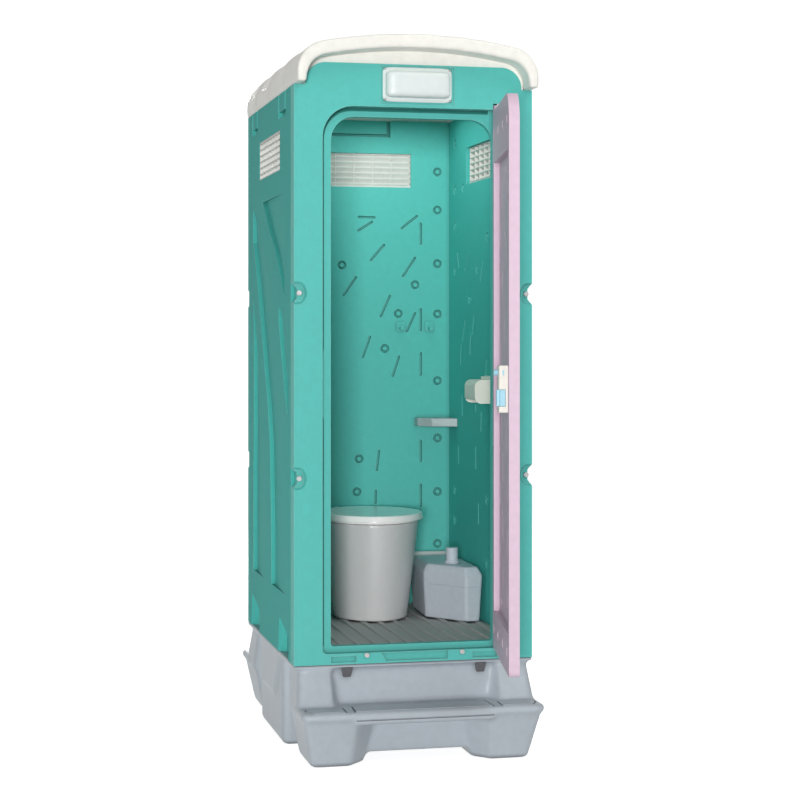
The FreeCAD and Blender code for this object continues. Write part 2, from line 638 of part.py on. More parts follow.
def make_lamp():
    frame = box("lamp_ring", (-116, 136), (0, 6), (1989, 2112))
    window = box("lamp_window", (-92, 112), (-1, 7), (2010, 2091))
    holes = [rod("lamp_hole_%d_%d" % (x, z), "y", (x, -1, z), 4, 8) for x in (-108, 128) for z in (1997, 2104)]
    node(cut("lamp_rim", frame, window, *holes), "lamp_frame")
    lens = box("lens_block", (-107, 127), (-41, 0), (2003, 2098))
    lens = round_edges("lens_round", lens, 22, lambda x, y, z, along: y < -40)
    foot = box("lens_foot", (-92, 112), (0, 6), (2010, 2091))
    node(fuse("lens", lens, foot), "lamp_lens")
    heads = [rod("lamp_screw_%d_%d" % (x, z), "y", (x, -2, z), 4, 8) for x in (-108, 128) for z in (1997, 2104)]
    node(group("lamp_heads", *heads), "lamp_screws")


# Fasteners of the walls and of the sill

def hexagon(name, start):
    """A hexagon bolt head that lies along the y axis."""
    item = doc.addObject("Part::Prism", name)
    item.Polygon = 6
    bind(item, Circumradius=10, Height=9)
    item.Placement.Rotation = TURNS["y"]
    place(item, *start)
    return item


def make_fasteners():
    bolts = []
    for side, sign in (("left", -1), ("right", 1)):
        for z in BOLT_HEIGHTS:
            x = "%d * (half_width - %d)" % (sign, BOLT_INSET)
            bolts.append(hexagon("bolt_f_%s_%d" % (side, z), (x, 5, z)))
            bolts.append(hexagon("bolt_b_%s_%d" % (side, z), (x, "cabin_depth - 14", z)))
    node(group("corner_heads", *bolts), "corner_bolts")
    screws = []
    for x in (-174, 174):
        shank = rod("sill_shank_%d" % x, "y", (x, 0, 30), 4, 20)
        head = rod("sill_head_%d" % x, "y", (x, -5, 30), 9, 5)
        screws.append(fuse("sill_screw_%d" % x, shank, head))
    node(group("sill_heads", *screws), "sill_screws")
    clips = []
    for side, x in (("left", -244), ("right", 244)):
        clips.append(taper("clip_" + side, (x - 13, x + 13, 5, 18.3), (x - 20, x + 20, -1, 22), (-46, -12)))
    node(group("clips", *clips), "tank_clips")


# Fittings of the room

def oval_wire(half, grow, y, z):
    """An oval of two end arcs and two side arcs, all tangent; grow moves it outwards all round."""
    end = 0.74 * half[0]
    reach = half[1] - end
    side = (reach ** 2 + half[0] ** 2 - end ** 2) / (2 * (half[0] - end))
    across = side - half[0]
    lean = Vector(across, reach, 0).normalize()
    corner = Vector(-across, 0, 0) + lean * (side + grow)
    corners = [Vector(sx * corner.x, sy * corner.y, 0) for sx, sy in ((1, -1), (1, 1), (-1, 1), (-1, -1))]
    middles = [Vector(half[0] + grow, 0, 0), Vector(0, half[1] + grow, 0),
               Vector(-half[0] - grow, 0, 0), Vector(0, -half[1] - grow, 0)]
    arcs = [Part.Arc(corners[i], middles[i], corners[(i + 1) % 4]).toShape() for i in range(4)]
    wire = Part.Wire(arcs)
    wire.translate(Vector(0, y + number("front_y"), z + number("deck_height")))
    return wire


def oval_loft(name, half, grow, z):
    """A solid between two ovals about the seat's centre: half is (x, y), grow and z are (low, high)."""
    item = doc.addObject("Part::Feature", name)
    item.Shape = Part.makeLoft([oval_wire(half, grow[i], SEAT_Y, number(z[i])) for i in (0, 1)], True, True)
    return item


SEAT_Y = 757
SEAT_Z = 435
AXIS = {"y": 1012, "z": 452}


def make_toilet():
    column = oval_loft("pedestal_column", (189, 232), (-46, 0), ("opening_low", SEAT_Z))
    shelf = taper("pedestal_shelf", (-60, 60, 880, 950), (-110, 110, 880, 1034), (330, SEAT_Z))
    hollow = oval_loft("pedestal_hollow", (136, 171), (-76, 0), (180, SEAT_Z + 1))
    port = rod("pipe_port", "y", (0, 960, 240), 14, 60)
    node(cut("pedestal_body", fuse("pedestal_solid", column, shelf), hollow, port), "pedestal")
    skin = oval_loft("bowl_skin", (136, 171), (-76, 0), (180, SEAT_Z + 1))
    inside = oval_loft("bowl_inside", (130, 165), (-76, 0), (190, SEAT_Z + 2))
    node(cut("bowl_shell", skin, inside), "bowl")
    make_seat()


def knuckles(name, inner, outer, reach, level):
    """Hinge knuckles that carry the seat or the lid, one on each side."""
    pieces = []
    for side, x in both_sides(inner, outer):
        pieces.append(rod("%s_knuckle_%s" % (name, side), "x", (x[0], AXIS["y"], AXIS["z"]), 9,
                          "(%s) - (%s)" % (x[1], x[0])))
        pieces.append(box("%s_strap_%s" % (name, side), x, (reach, AXIS["y"]), level))
    return pieces


def make_seat():
    bore = rod("seat_bore", "x", (-120, AXIS["y"], AXIS["z"]), "4 + pin_play", 240)
    ring = oval_loft("seat_outer", (190, 230), (0, -3), (SEAT_Z + 2, SEAT_Z + 18))
    hole = oval_loft("seat_hole", (128, 163), (0, -4), (SEAT_Z + 1, SEAT_Z + 19))
    seat_straps = knuckles("seat", 50, 68, 960, (SEAT_Z + 9, SEAT_Z + 17))
    node(cut("seat_ring", fuse("seat_solid", ring, *seat_straps), hole, bore), "seat")
    dome = oval_loft("lid_outer", (209, 245), (0, -6), (SEAT_Z + 8, SEAT_Z + 33))
    under = oval_loft("lid_under", (197, 236), (0, -2), (SEAT_Z + 7, SEAT_Z + 22))
    slots = [box("lid_slot_" + side, x, (940, 1010), (SEAT_Z + 7, SEAT_Z + 22)) for side, x in both_sides(49, 92)]
    lid_straps = knuckles("lid", 24, 48, 985, (SEAT_Z + 13, SEAT_Z + 26))
    lid_bore = rod("lid_bore", "x", (-120, AXIS["y"], AXIS["z"]), "4 + pin_play", 240)
    shell = cut("lid_shell", cut("lid_hollow", dome, under), *slots)
    node(cut("lid_cover", fuse("lid_solid", shell, *lid_straps), lid_bore), "lid")
    posts = []
    for side, x in both_sides(69, 89):
        post = box("hinge_post_" + side, x, (1000, 1026), (SEAT_Z, SEAT_Z + 28))
        posts.append(post)
    pin = rod("seat_pin", "x", (-89, AXIS["y"], AXIS["z"]), 4, 178)
    node(fuse("hinge_posts", pin, *posts), "seat_hinge")


FLUSH = {"x": 304, "y": 647, "top": 268}
FLUSH_PLAN = [(190, 654), (317, 483), (388, 495), (396, 952), (206, 949)]


def inset(corners, gap):
    """An outline moved inwards by gap all round; the corners run anticlockwise."""
    moved = []
    count = len(corners)
    for i in range(count):
        before, here, after = (Vector(*corners[(i + k) % count], 0) for k in (-1, 0, 1))
        one = (here - before).normalize()
        two = (after - here).normalize()
        bisector = Vector(-one.y - two.y, one.x + two.x, 0)
        moved.append(here + bisector * (gap / (1 + one.dot(two))))
    return [(point.x, point.y) for point in moved]


def make_flush():
    levels = ((number("opening_low"), 9), (235, 0), (FLUSH["top"], 17))
    body = plan_solid("flush_body", [(z, inset(FLUSH_PLAN, gap)) for z, gap in levels])
    body = round_edges("flush_edges", body, 13, lambda x, y, z, along: abs(along.z) > 10)
    well = rod("pump_well", "z", (FLUSH["x"], FLUSH["y"], FLUSH["top"] - 90), 25, 100)
    node(cut("flush_tank_body", body, well), "flush_tank")
    collar = rod("collar_ring", "z", (FLUSH["x"], FLUSH["y"], FLUSH["top"]), 31, 5)
    lip = rod("collar_lip", "z", (FLUSH["x"], FLUSH["y"], FLUSH["top"]), 27, 12)
    throat = rod("collar_throat", "z", (FLUSH["x"], FLUSH["y"], FLUSH["top"] - 1), 24, 15)
    node(cut("collar", fuse("collar_solid", collar, lip), throat), "pump_collar")
    stem = rod("plunger_stem", "z", (FLUSH["x"], FLUSH["y"], FLUSH["top"] - 20), 23.5, 80)
    rim = rod("plunger_rim", "z", (FLUSH["x"], FLUSH["y"], FLUSH["top"] + 58), 24.5, 3)
    node(fuse("plunger", stem, rim), "pump_plunger")
    runs = [rod("pipe_out", "y", (FLUSH["x"], 940, 228), 14, 100),
            rod("pipe_across", "x", (-20, 1040, 252), 20, FLUSH["x"] + 96),
            rod("pipe_in", "y", (0, 960, 240), 14, 75)]
    node(cut("pipe", fuse("pipe_runs", *runs), body), "flush_pipe")


def make_fittings():
    hooks = []
    for x in (193, 315):
        pad = box("hook_pad_%d" % x, (x - 18, x + 18), ("room_back - 6", "room_back"), (1179, 1216))
        peg = rod("hook_peg_%d" % x, "y", (x, "room_back - 40", 1190), 6, 40)
        tip = rod("hook_tip_%d" % x, "y", (x, "room_back - 44", 1190), 9, 6)
        hooks.append(fuse("hook_%d" % x, pad, peg, tip))
    node(group("hooks", *hooks), "coat_hooks")
    shelf = slab("shelf_plate", "plan",
                 [("room_half", "room_back"), (253, "room_back"), (253, 1010), (300, 958), ("room_half", 931)],
                 788, 34)
    shelf_cut = slab("shelf_hollow", "plan",
                     [("room_half - 5", "room_back - 5"), (258, "room_back - 5"), (258, 1013), (303, 963),
                      ("room_half - 5", 937)], 787, 26)
    node(cut("shelf", shelf, shelf_cut), "corner_shelf")
    plate = box("holder_plate", ("room_half - 6", "room_half"), (345, 501), (900, 1005))
    lugs = [box("holder_lug_%d" % y, ("room_half - 21", "room_half - 6"), (y, y + 8), (993, 1002))
            for y in (352, 486)]
    arms = [box("holder_arm_%d" % y, ("room_half - 60", "room_half - 6"), (y, y + 4), (930, 970))
            for y in (360, 482)]
    axle = rod("holder_axle", "y", ("room_half - 50", 360, 950), 8, 126)
    rod_pin = rod("holder_rod", "y", ("room_half - 15", 350, 996), 2.5, 146)
    node(fuse("holder_body", plate, axle, rod_pin, *lugs, *arms), "paper_holder")
    shell = box("cover_block", ("room_half - 85", "room_half - 9"), (348, 498), (902, 992))
    shell = round_edges("cover_round", shell, 26,
                        lambda x, y, z, along: abs(along.y) > 1 and x < number("room_half") - 84)
    inside = box("cover_inside", ("room_half - 82", "room_half"), (351, 495), (890, 989))
    inside = round_edges("cover_inside_round", inside, 22,
                         lambda x, y, z, along: abs(along.y) > 1 and x < number("room_half") - 80 and z > 980)
    knuckle = rod("cover_knuckle", "y", ("room_half - 15", 361, 996), 6, 124)
    cover_bore = rod("cover_bore", "y", ("room_half - 15", 300, 996), 2.55, 250)
    reliefs = [box("cover_relief_%d" % y, ("room_half - 31", "room_half"), (y, y + 10), (985, 995))
               for y in (351, 485)]
    node(cut("cover", fuse("cover_solid", cut("cover_shell", shell, inside), knuckle), cover_bore, *reliefs),
         "paper_cover")


def make_pump_out():
    """Port for emptying the tank, on the back ledge, under a hinged lid."""
    neck = rod("outlet_tube", "z", (0, OUTLET["y"], "ledge_top"), 52, 30)
    foot = rod("outlet_foot", "z", (0, OUTLET["y"], "ledge_top"), 60, 5)
    base = box("outlet_base", (-30, 30), ("%s - 11" % OUTLET["hinge_y"], OUTLET["y"]), ("ledge_top", "ledge_top + 5"))
    bore = rod("outlet_bore", "z", (0, OUTLET["y"], "ledge_top - 1"), 44, 32)
    posts = [box("outlet_post_" + side, x, ("%s - 7" % OUTLET["hinge_y"], "%s + 7" % OUTLET["hinge_y"]),
                 ("ledge_top", "ledge_top + 44")) for side, x in both_sides(17, 24)]
    pin = rod("outlet_pin", "x", (-24, OUTLET["hinge_y"], OUTLET["hinge_z"]), 3, 48)
    node(cut("outlet", fuse("outlet_solid", neck, foot, base, pin, *posts), bore), "pump_out_neck")
    disc = rod("cap_disc", "z", (0, OUTLET["y"], "ledge_top + 31"), 58, 12)
    handle = box("cap_handle", (-30, 30), ("%s - 6" % OUTLET["y"], "%s + 6" % OUTLET["y"]),
                 ("ledge_top + 43", "ledge_top + 58"))
    knuckle = rod("cap_knuckle", "x", (-16, OUTLET["hinge_y"], OUTLET["hinge_z"]), 6, 32)
    strap = box("cap_strap", (-16, 16), (OUTLET["hinge_y"], "%s + 20" % OUTLET["hinge_y"]),
                ("ledge_top + 34", "ledge_top + 43"))
    cap_bore = rod("cap_bore", "x", (-20, OUTLET["hinge_y"], OUTLET["hinge_z"]), "3 + pin_play", 40)
    node(cut("cap", fuse("cap_solid", disc, handle, knuckle, strap), cap_bore), "pump_out_cap")


def write_parts():
    """Checks every object of the document and writes one STEP file for each sub-part."""
    doc.recompute()
    for item in doc.Objects:
        if "Invalid" in item.State or "Error" in item.State:
            raise RuntimeError("%s failed: %s" % (item.Name, item.State))
    os.makedirs("parts", exist_ok=True)
    for item in NODES:
        if item.Shape.isNull() or not item.Shape.isValid():
            raise RuntimeError("%s has no valid shape" % item.Label)
        item.Shape.exportStep("parts/%s.step" % item.Label)
        solids = len(item.Shape.Solids)
        print("%-20s %2d solid(s) %9.1f cm3" % (item.Label, solids, item.Shape.Volume / 1000))


make_tank()
make_floor()
make_front()
make_side("left")
make_side("right")
make_back()
make_grilles()
make_roof()
make_door()
make_lock()
make_lamp()
make_fasteners()
make_toilet()
make_flush()
make_fittings()
make_pump_out()
write_parts()
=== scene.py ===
"""Looks for a portable toilet cabin: moulded walls, step tank, door, pedestal and fittings."""
import json
import math

import bmesh
import bpy
import numpy as np
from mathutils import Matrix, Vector


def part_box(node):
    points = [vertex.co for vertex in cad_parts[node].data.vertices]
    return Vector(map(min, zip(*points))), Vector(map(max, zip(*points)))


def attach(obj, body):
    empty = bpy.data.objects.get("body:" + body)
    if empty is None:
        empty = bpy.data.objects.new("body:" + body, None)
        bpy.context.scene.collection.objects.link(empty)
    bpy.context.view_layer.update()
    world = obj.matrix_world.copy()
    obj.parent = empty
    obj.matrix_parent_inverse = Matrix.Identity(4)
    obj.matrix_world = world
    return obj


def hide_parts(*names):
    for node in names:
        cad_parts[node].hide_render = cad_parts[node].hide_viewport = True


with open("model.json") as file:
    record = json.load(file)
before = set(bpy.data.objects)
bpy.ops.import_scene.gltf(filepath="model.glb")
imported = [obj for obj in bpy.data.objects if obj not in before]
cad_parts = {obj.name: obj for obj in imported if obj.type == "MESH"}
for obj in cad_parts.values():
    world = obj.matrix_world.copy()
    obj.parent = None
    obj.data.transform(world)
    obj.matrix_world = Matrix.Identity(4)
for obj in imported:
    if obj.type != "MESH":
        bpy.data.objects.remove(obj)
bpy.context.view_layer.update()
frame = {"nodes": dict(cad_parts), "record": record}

bl_info = {
    "name": "Portable toilet cabin",
    "version": (1, 0, 0),
    "blender": (4, 5, 0),
    "location": "3D View > Sidebar > Cabin",
    "description": "Dresses the packed cabin with moulded pieces, finishes, light and a camera",
    "category": "Object",
}

# Cabin coordinates: y counts from the front face of the walls, z from the deck of the tank
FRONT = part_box("front_panel")[0].y
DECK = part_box("front_panel")[0].z


def cabin(points):
    """Points in cabin millimetres as metres in the row frame."""
    return np.asarray(points, float) / 1000 + np.array([0, FRONT, DECK])


def box_mm(node):
    """A node's lowest and highest corners in cabin millimetres, to a tenth."""
    return np.round((np.array(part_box(node)) - np.array([0, FRONT, DECK])) * 1000, 1)


# The walls' faces: outer half width, room side of the side walls, room side and outside of the back wall
HALF_WIDTH = box_mm("right_panel")[1][0]
SIDE_FACE = box_mm("right_panel")[0][0]
BACK_FACE = box_mm("rear_panel")[0][1]
BACK_OUTSIDE = box_mm("rear_panel")[1][1]


# Settings

def length(name, description, metres):
    """A length setting."""
    return bpy.props.FloatProperty(name=name, description=description, default=metres, unit="LENGTH")


class CabinSizes(bpy.types.PropertyGroup):
    edge: length("Wall corner", "Radius of the walls' upright outer corners", 0.009)
    small_edge: length("Fitting edge", "Radius of the fittings' edges", 0.0015)
    tank_cell: length("Tank cell", "Cell size of the tank's moulded skin", 0.0085)
    roof_cell: length("Roof cell", "Cell size of the roof's moulded skin", 0.008)
    toilet_cell: length("Toilet cell", "Cell size of the toilet's moulded skins", 0.004)


def tint(name, description, rgb):
    """A colour setting in linear red, green and blue."""
    return bpy.props.FloatVectorProperty(name=name, description=description, subtype="COLOR", size=3,
                                         min=0, max=1, default=rgb)


class CabinColours(bpy.types.PropertyGroup):
    wall: tint("Walls", "Green of the wall mouldings", (0.078, 0.49, 0.44))
    door: tint("Door", "Pale lilac of the door", (0.72, 0.54, 0.66))
    roof: tint("Roof", "Off-white of the roof", (0.86, 0.85, 0.79))
    trim: tint("Trim", "Off-white of grilles, lock and holder", (0.84, 0.82, 0.74))
    vent: tint("Vents", "Off-white of the louvred vents", (0.68, 0.68, 0.64))
    tank: tint("Tank", "Blue grey of the tank", (0.47, 0.525, 0.575))
    floor: tint("Floor", "Dark grey of the floor", (0.50, 0.49, 0.48))
    pedestal: tint("Pedestal", "Grey of the pedestal", (0.65, 0.64, 0.64))
    flush: tint("Flush", "Grey of the flush tank", (0.56, 0.60, 0.66))
    seat: tint("Seat", "White of seat, lid and bowl", (0.97, 0.96, 0.94))
    shelf: tint("Shelf", "Blue grey of the corner shelf", (0.36, 0.42, 0.43))
    steel: tint("Steel", "Zinc-plated steel", (0.46, 0.46, 0.46))
    lens: tint("Lamp", "Opal of the lamp cover", (0.72, 0.79, 0.77))
    blue: tint("Blue", "Pale blue of the lock's knobs", (0.36, 0.68, 0.82))
    dark: tint("Dark", "Dark grey of small plastic pieces", (0.10, 0.10, 0.11))


def sizes():
    return bpy.context.scene.cabin_sizes


def colours():
    return bpy.context.scene.cabin_colours


# Shader groups

def group(name, inputs, outputs):
    """A new shader group with (name, default) inputs and (name, kind) outputs: its tree and both ends."""
    tree = bpy.data.node_groups.new(name, "ShaderNodeTree")
    for label, default in inputs:
        kind = "NodeSocketColor" if isinstance(default, tuple) else "NodeSocketFloat"
        socket = tree.interface.new_socket(label, in_out="INPUT", socket_type=kind)
        socket.default_value = (*default, 1) if isinstance(default, tuple) else default
    for label, kind in outputs:
        tree.interface.new_socket(label, in_out="OUTPUT", socket_type=kind)
    return tree, tree.nodes.new("NodeGroupInput"), tree.nodes.new("NodeGroupOutput")


def wire(tree, kind, links=(), **values):
    """A new node: links are (input, socket) pairs, values its properties."""
    made = tree.nodes.new(kind)
    for prop, value in values.items():
        setattr(made, prop, value)
    for key, source in links:
        if isinstance(source, (int, float)):
            made.inputs[key].default_value = source
        else:
            tree.links.new(source, made.inputs[key])
    return made


def calc(tree, operation, a, b):
    """The output of a math node on two sockets or numbers."""
    return wire(tree, "ShaderNodeMath", [(0, a), (1, b)], operation=operation).outputs[0]


def grain_group():
    """Moulded grain: fine noise for the skin and long slow waves for the sheet, as a height and a tone."""
    tree, start, end = group("moulded_grain", [("Scale", 700.0), ("Depth", 1.0), ("Waves", 1.0)],
                             [("Height", "NodeSocketFloat"), ("Tone", "NodeSocketFloat")])
    waves, patches, fine_height = 5.0, 38.0, 0.02
    place = wire(tree, "ShaderNodeTexCoord").outputs["Object"]
    fine = wire(tree, "ShaderNodeTexNoise", [("Vector", place), ("Scale", start.outputs["Scale"]),
                                             ("Detail", 2.0), ("Roughness", 0.6)])
    slow = wire(tree, "ShaderNodeTexNoise", [("Vector", place), ("Scale", waves), ("Detail", 1.0)])
    patch = wire(tree, "ShaderNodeTexNoise", [("Vector", place), ("Scale", patches), ("Detail", 3.0)])
    low = calc(tree, "MULTIPLY", slow.outputs["Fac"], start.outputs["Waves"])
    relief = calc(tree, "MULTIPLY", start.outputs["Depth"], fine_height)
    high = calc(tree, "MULTIPLY", fine.outputs["Fac"], relief)
    tree.links.new(calc(tree, "ADD", low, high), end.inputs["Height"])
    tree.links.new(patch.outputs["Fac"], end.inputs["Tone"])
    return tree


def edge_group():
    """Edge wear: how far the rounded normal turns from the flat one, broken up by noise, as a mask."""
    chips, strength = 60.0, 8.0
    inputs = [("Width", 0.004), ("Amount", 0.5)]
    tree, start, end = group("edge_wear", inputs, [("Mask", "NodeSocketFloat")])
    place = wire(tree, "ShaderNodeTexCoord").outputs["Object"]
    turned = wire(tree, "ShaderNodeBevel", [("Radius", start.outputs["Width"])], samples=4)
    flat = wire(tree, "ShaderNodeNewGeometry")
    dot = wire(tree, "ShaderNodeVectorMath", [(0, turned.outputs["Normal"]), (1, flat.outputs["Normal"])],
               operation="DOT_PRODUCT")
    lean = calc(tree, "SUBTRACT", 1.0, dot.outputs["Value"])
    noise = wire(tree, "ShaderNodeTexNoise", [("Vector", place), ("Scale", chips), ("Detail", 3.0)])
    ragged = calc(tree, "MULTIPLY", lean, calc(tree, "MULTIPLY", noise.outputs["Fac"], strength))
    mask = wire(tree, "ShaderNodeMath", [(0, ragged), (1, start.outputs["Amount"])], operation="MULTIPLY",
                use_clamp=True)
    tree.links.new(mask.outputs[0], end.inputs["Mask"])
    return tree


def dust_group():
    """Dust: noise that grows towards the ground and on faces that look up, as a mask."""
    specks, lying = 14.0, 0.5
    tree, start, end = group("dust", [("Top", 0.9), ("Amount", 0.4)], [("Mask", "NodeSocketFloat")])
    place = wire(tree, "ShaderNodeTexCoord").outputs["Object"]
    split = wire(tree, "ShaderNodeSeparateXYZ", [(0, place)])
    rise = wire(tree, "ShaderNodeMapRange", [("Value", split.outputs["Z"]), ("To Min", 1.0), ("To Max", 0.0),
                                             ("From Max", start.outputs["Top"])])
    up = wire(tree, "ShaderNodeSeparateXYZ", [(0, wire(tree, "ShaderNodeNewGeometry").outputs["Normal"])])
    lies = wire(tree, "ShaderNodeMath", [(0, up.outputs["Z"]), (1, 0.0)], operation="MAXIMUM").outputs[0]
    noise = wire(tree, "ShaderNodeTexNoise", [("Vector", place), ("Scale", specks), ("Detail", 6.0),
                                              ("Roughness", 0.65)])
    both = calc(tree, "ADD", rise.outputs["Result"], calc(tree, "MULTIPLY", lies, lying))
    spotted = calc(tree, "MULTIPLY", both, noise.outputs["Fac"])
    mask = wire(tree, "ShaderNodeMath", [(0, spotted), (1, start.outputs["Amount"])], operation="MULTIPLY",
                use_clamp=True)
    tree.links.new(mask.outputs[0], end.inputs["Mask"])
    return tree


def recess_group():
    """Painted shade in grooves and inner corners: how much of the near sky a point misses, as a mask that
    darkens the colour.
    """
    inputs = [("Reach", 0.02), ("Amount", 0.6)]
    tree, start, end = group("recess_shade", inputs, [("Mask", "NodeSocketFloat")])
    near = wire(tree, "ShaderNodeAmbientOcclusion", [("Distance", start.outputs["Reach"])], samples=6)
    hidden = calc(tree, "SUBTRACT", 1.0, near.outputs["AO"])
    mask = wire(tree, "ShaderNodeMath", [(0, hidden), (1, start.outputs["Amount"])], operation="MULTIPLY",
                use_clamp=True)
    tree.links.new(mask.outputs[0], end.inputs["Mask"])
    return tree


GROUPS = {}


def shader_group(name):
    """The shader group of a name, built at its first use."""
    makers = {"moulded_grain": grain_group, "edge_wear": edge_group, "dust": dust_group,
              "recess_shade": recess_group}
    if name not in GROUPS:
        GROUPS[name] = makers[name]()
    return GROUPS[name]


def use_group(tree, name, **values):
    """A shader group placed in a material with its own values."""
    made = tree.nodes.new("ShaderNodeGroup")
    made.node_tree = shader_group(name)
    for key, value in values.items():
        made.inputs[key].default_value = value
    return made


def mixed(tree, share, one, two, blend="MIX"):
    """A colour mix; one and two are sockets or linear colours, share a socket or a number."""
    made = tree.nodes.new("ShaderNodeMix")
    made.data_type = "RGBA"
    made.blend_type = blend
    for index, source in ((0, share), (6, one), (7, two)):
        if isinstance(source, bpy.types.NodeSocket):
            tree.links.new(source, made.inputs[index])
        elif isinstance(source, (int, float)):
            made.inputs[index].default_value = source
        else:
            made.inputs[index].default_value = (*source[:3], 1)
    return made.outputs[2]


FINISHES = {}

# A worn edge's step towards white, what dust leaves of a colour and adds to it, what painted shade in a
# groove leaves of it
WORN_STEP = 0.35
DUST_LEAVES, DUST_ADDS = 0.4, 0.175
GROOVE_SHADE_LEAVES = 0.3


def surfaced(tree, shader, skin, smoothest, roughest, bump, height):
    """Roughness that follows a skin's tone between two values, and a bump from its height."""
    rough = wire(tree, "ShaderNodeMapRange", [("Value", skin.outputs["Tone"]), ("To Min", smoothest),
                                              ("To Max", roughest)])
    tree.links.new(rough.outputs["Result"], shader.inputs["Roughness"])
    bumped = wire(tree, "ShaderNodeBump", [("Height", skin.outputs["Height"]), ("Strength", bump),
                                           ("Distance", height)])
    tree.links.new(bumped.outputs["Normal"], shader.inputs["Normal"])


def plastic(name, rgb, roughness=0.45, grain=700.0, depth=1.0, waves=1.0, bump=0.25, wear=0.5, dust=0.35,
            tone=0.08, coat=0.0, sheen=0.3, shade=0.0, gloss_spread=0.08):
    """Moulded plastic: slow tone changes, paler worn edges, dust, painted shade in grooves, and a grained
    bump.
    """
    if name in FINISHES:
        return FINISHES[name]
    rgb = tuple(rgb)
    made = bpy.data.materials.new(name)
    made.use_nodes = True
    tree = made.node_tree
    shader = tree.nodes["Principled BSDF"]
    skin = use_group(tree, "moulded_grain", Scale=grain, Depth=depth, Waves=waves)
    worn = use_group(tree, "edge_wear", Amount=wear)
    dirt = use_group(tree, "dust", Amount=dust)
    dull = tuple(c * (1 - tone) for c in rgb)
    bright = tuple(min(1.0, c * (1 + tone)) for c in rgb)
    base = mixed(tree, skin.outputs["Tone"], dull, bright)
    base = mixed(tree, worn.outputs["Mask"], base, tuple(c + (1 - c) * WORN_STEP for c in rgb))
    base = mixed(tree, dirt.outputs["Mask"], base, tuple(c * DUST_LEAVES + DUST_ADDS for c in rgb))
    # Painted shade: the colour darkens in grooves and inner corners, where shade falls
    if shade:
        groove = use_group(tree, "recess_shade", Amount=shade)
        base = mixed(tree, groove.outputs["Mask"], base, tuple(c * GROOVE_SHADE_LEAVES for c in rgb))
    tree.links.new(base, shader.inputs["Base Color"])
    surfaced(tree, shader, skin, roughness - gloss_spread, roughness + gloss_spread, bump, 0.004)
    shader.inputs["Specular IOR Level"].default_value = sheen
    shader.inputs["Coat Weight"].default_value = coat
    shader.inputs["Coat Roughness"].default_value = 0.2
    FINISHES[name] = made
    return made


def metal(name, rgb, smoothest=0.25, roughest=0.5, dullest=0.7):
    """Plated steel: a bright metal whose gloss and tone vary in small patches."""
    if name in FINISHES:
        return FINISHES[name]
    made = bpy.data.materials.new(name)
    made.use_nodes = True
    tree = made.node_tree
    shader = tree.nodes["Principled BSDF"]
    skin = use_group(tree, "moulded_grain", Scale=1800.0, Depth=1.0, Waves=0.0)
    rgb = tuple(rgb)
    base = mixed(tree, skin.outputs["Tone"], tuple(c * dullest for c in rgb), rgb)
    tree.links.new(base, shader.inputs["Base Color"])
    shader.inputs["Metallic"].default_value = 1.0
    surfaced(tree, shader, skin, smoothest, roughest, 0.1, 0.002)
    FINISHES[name] = made
    return made


def wall_finish():
    return plastic("wall_green", colours().wall, roughness=0.6, wear=0.35, dust=0.12, sheen=0.5, shade=0.8)


def side_finish():
    return plastic("wall_green_side", colours().wall, roughness=0.6, wear=0.35, dust=0.12, sheen=0.04,
                   shade=0.4)


def roof_finish():
    return plastic("roof_white", colours().roof, roughness=0.4, wear=0.2)


def vent_finish():
    return plastic("vent_white", colours().vent, roughness=0.5, wear=0.2, dust=0.1)


def trim_finish():
    return plastic("trim_white", colours().trim, roughness=0.4, wear=0.2, dust=0.1)


def door_finish():
    return plastic("door_lilac", colours().door, roughness=0.5, wear=0.3, dust=0.1, shade=0.6)


def tank_finish():
    return plastic("tank_grey", colours().tank, roughness=0.4, grain=500.0, wear=0.3, dust=0.5, shade=1.0)


def floor_finish():
    return plastic("floor_grey", colours().floor, roughness=0.55, grain=900.0, depth=3.0, wear=0.6, dust=0.3,
                   shade=0.8)


def pedestal_finish():
    return plastic("pedestal_grey", colours().pedestal, roughness=0.32, wear=0.08, dust=0.05, tone=0.03,
                   sheen=0.5)


def flush_finish():
    return plastic("flush_grey", colours().flush, roughness=0.42, wear=0.3, dust=0.2)


def shelf_finish():
    return plastic("shelf_grey", colours().shelf, roughness=0.4, wear=0.3, dust=0.1)


def seat_finish():
    return plastic("seat_white", colours().seat, roughness=0.16, depth=0.3, waves=0.3, bump=0.1, wear=0.1,
                   dust=0.05, tone=0.03, coat=0.4)


def lens_finish():
    return plastic("lamp_opal", colours().lens, roughness=0.3, depth=0.3, wear=0.1, dust=0.05, tone=0.04)


def blue_finish():
    return plastic("knob_blue", colours().blue, roughness=0.3, wear=0.2, dust=0.05)


def dark_finish():
    return plastic("dark_grey", colours().dark, roughness=0.5, wear=0.4, dust=0.3)


def steel_finish():
    return metal("zinc_steel", colours().steel)


# Meshes

def grid_faces(rows, cols, wrap_rows=False, wrap_cols=True):
    """Quads between neighbours of a rows by cols grid; a wrapped direction closes on itself."""
    row_count = rows if wrap_rows else rows - 1
    col_count = cols if wrap_cols else cols - 1
    a, b = np.meshgrid(np.arange(row_count), np.arange(col_count), indexing="ij")
    c, d = (a + 1) % rows, (b + 1) % cols
    return np.stack([a * cols + b, a * cols + d, c * cols + d, c * cols + b], -1).reshape(-1, 4)


def solid(name, shells, finish, body, slot):
    """A finished piece from closed shells, as closed_mesh takes them."""
    return dressed(name, closed_mesh(name, shells), finish, body, slot)


def dressed(name, mesh, finish, body, slot, angle=40):
    """Links a mesh as a finished piece that rides on a body, shaded smooth below an angle in degrees."""
    mesh.materials.clear()
    mesh.materials.append(finish)
    mesh.shade_smooth()
    mesh.set_sharp_from_angle(angle=math.radians(angle))
    item = bpy.data.objects.new(name, mesh)
    bpy.context.scene.collection.objects.link(item)
    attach(item, body)
    return item


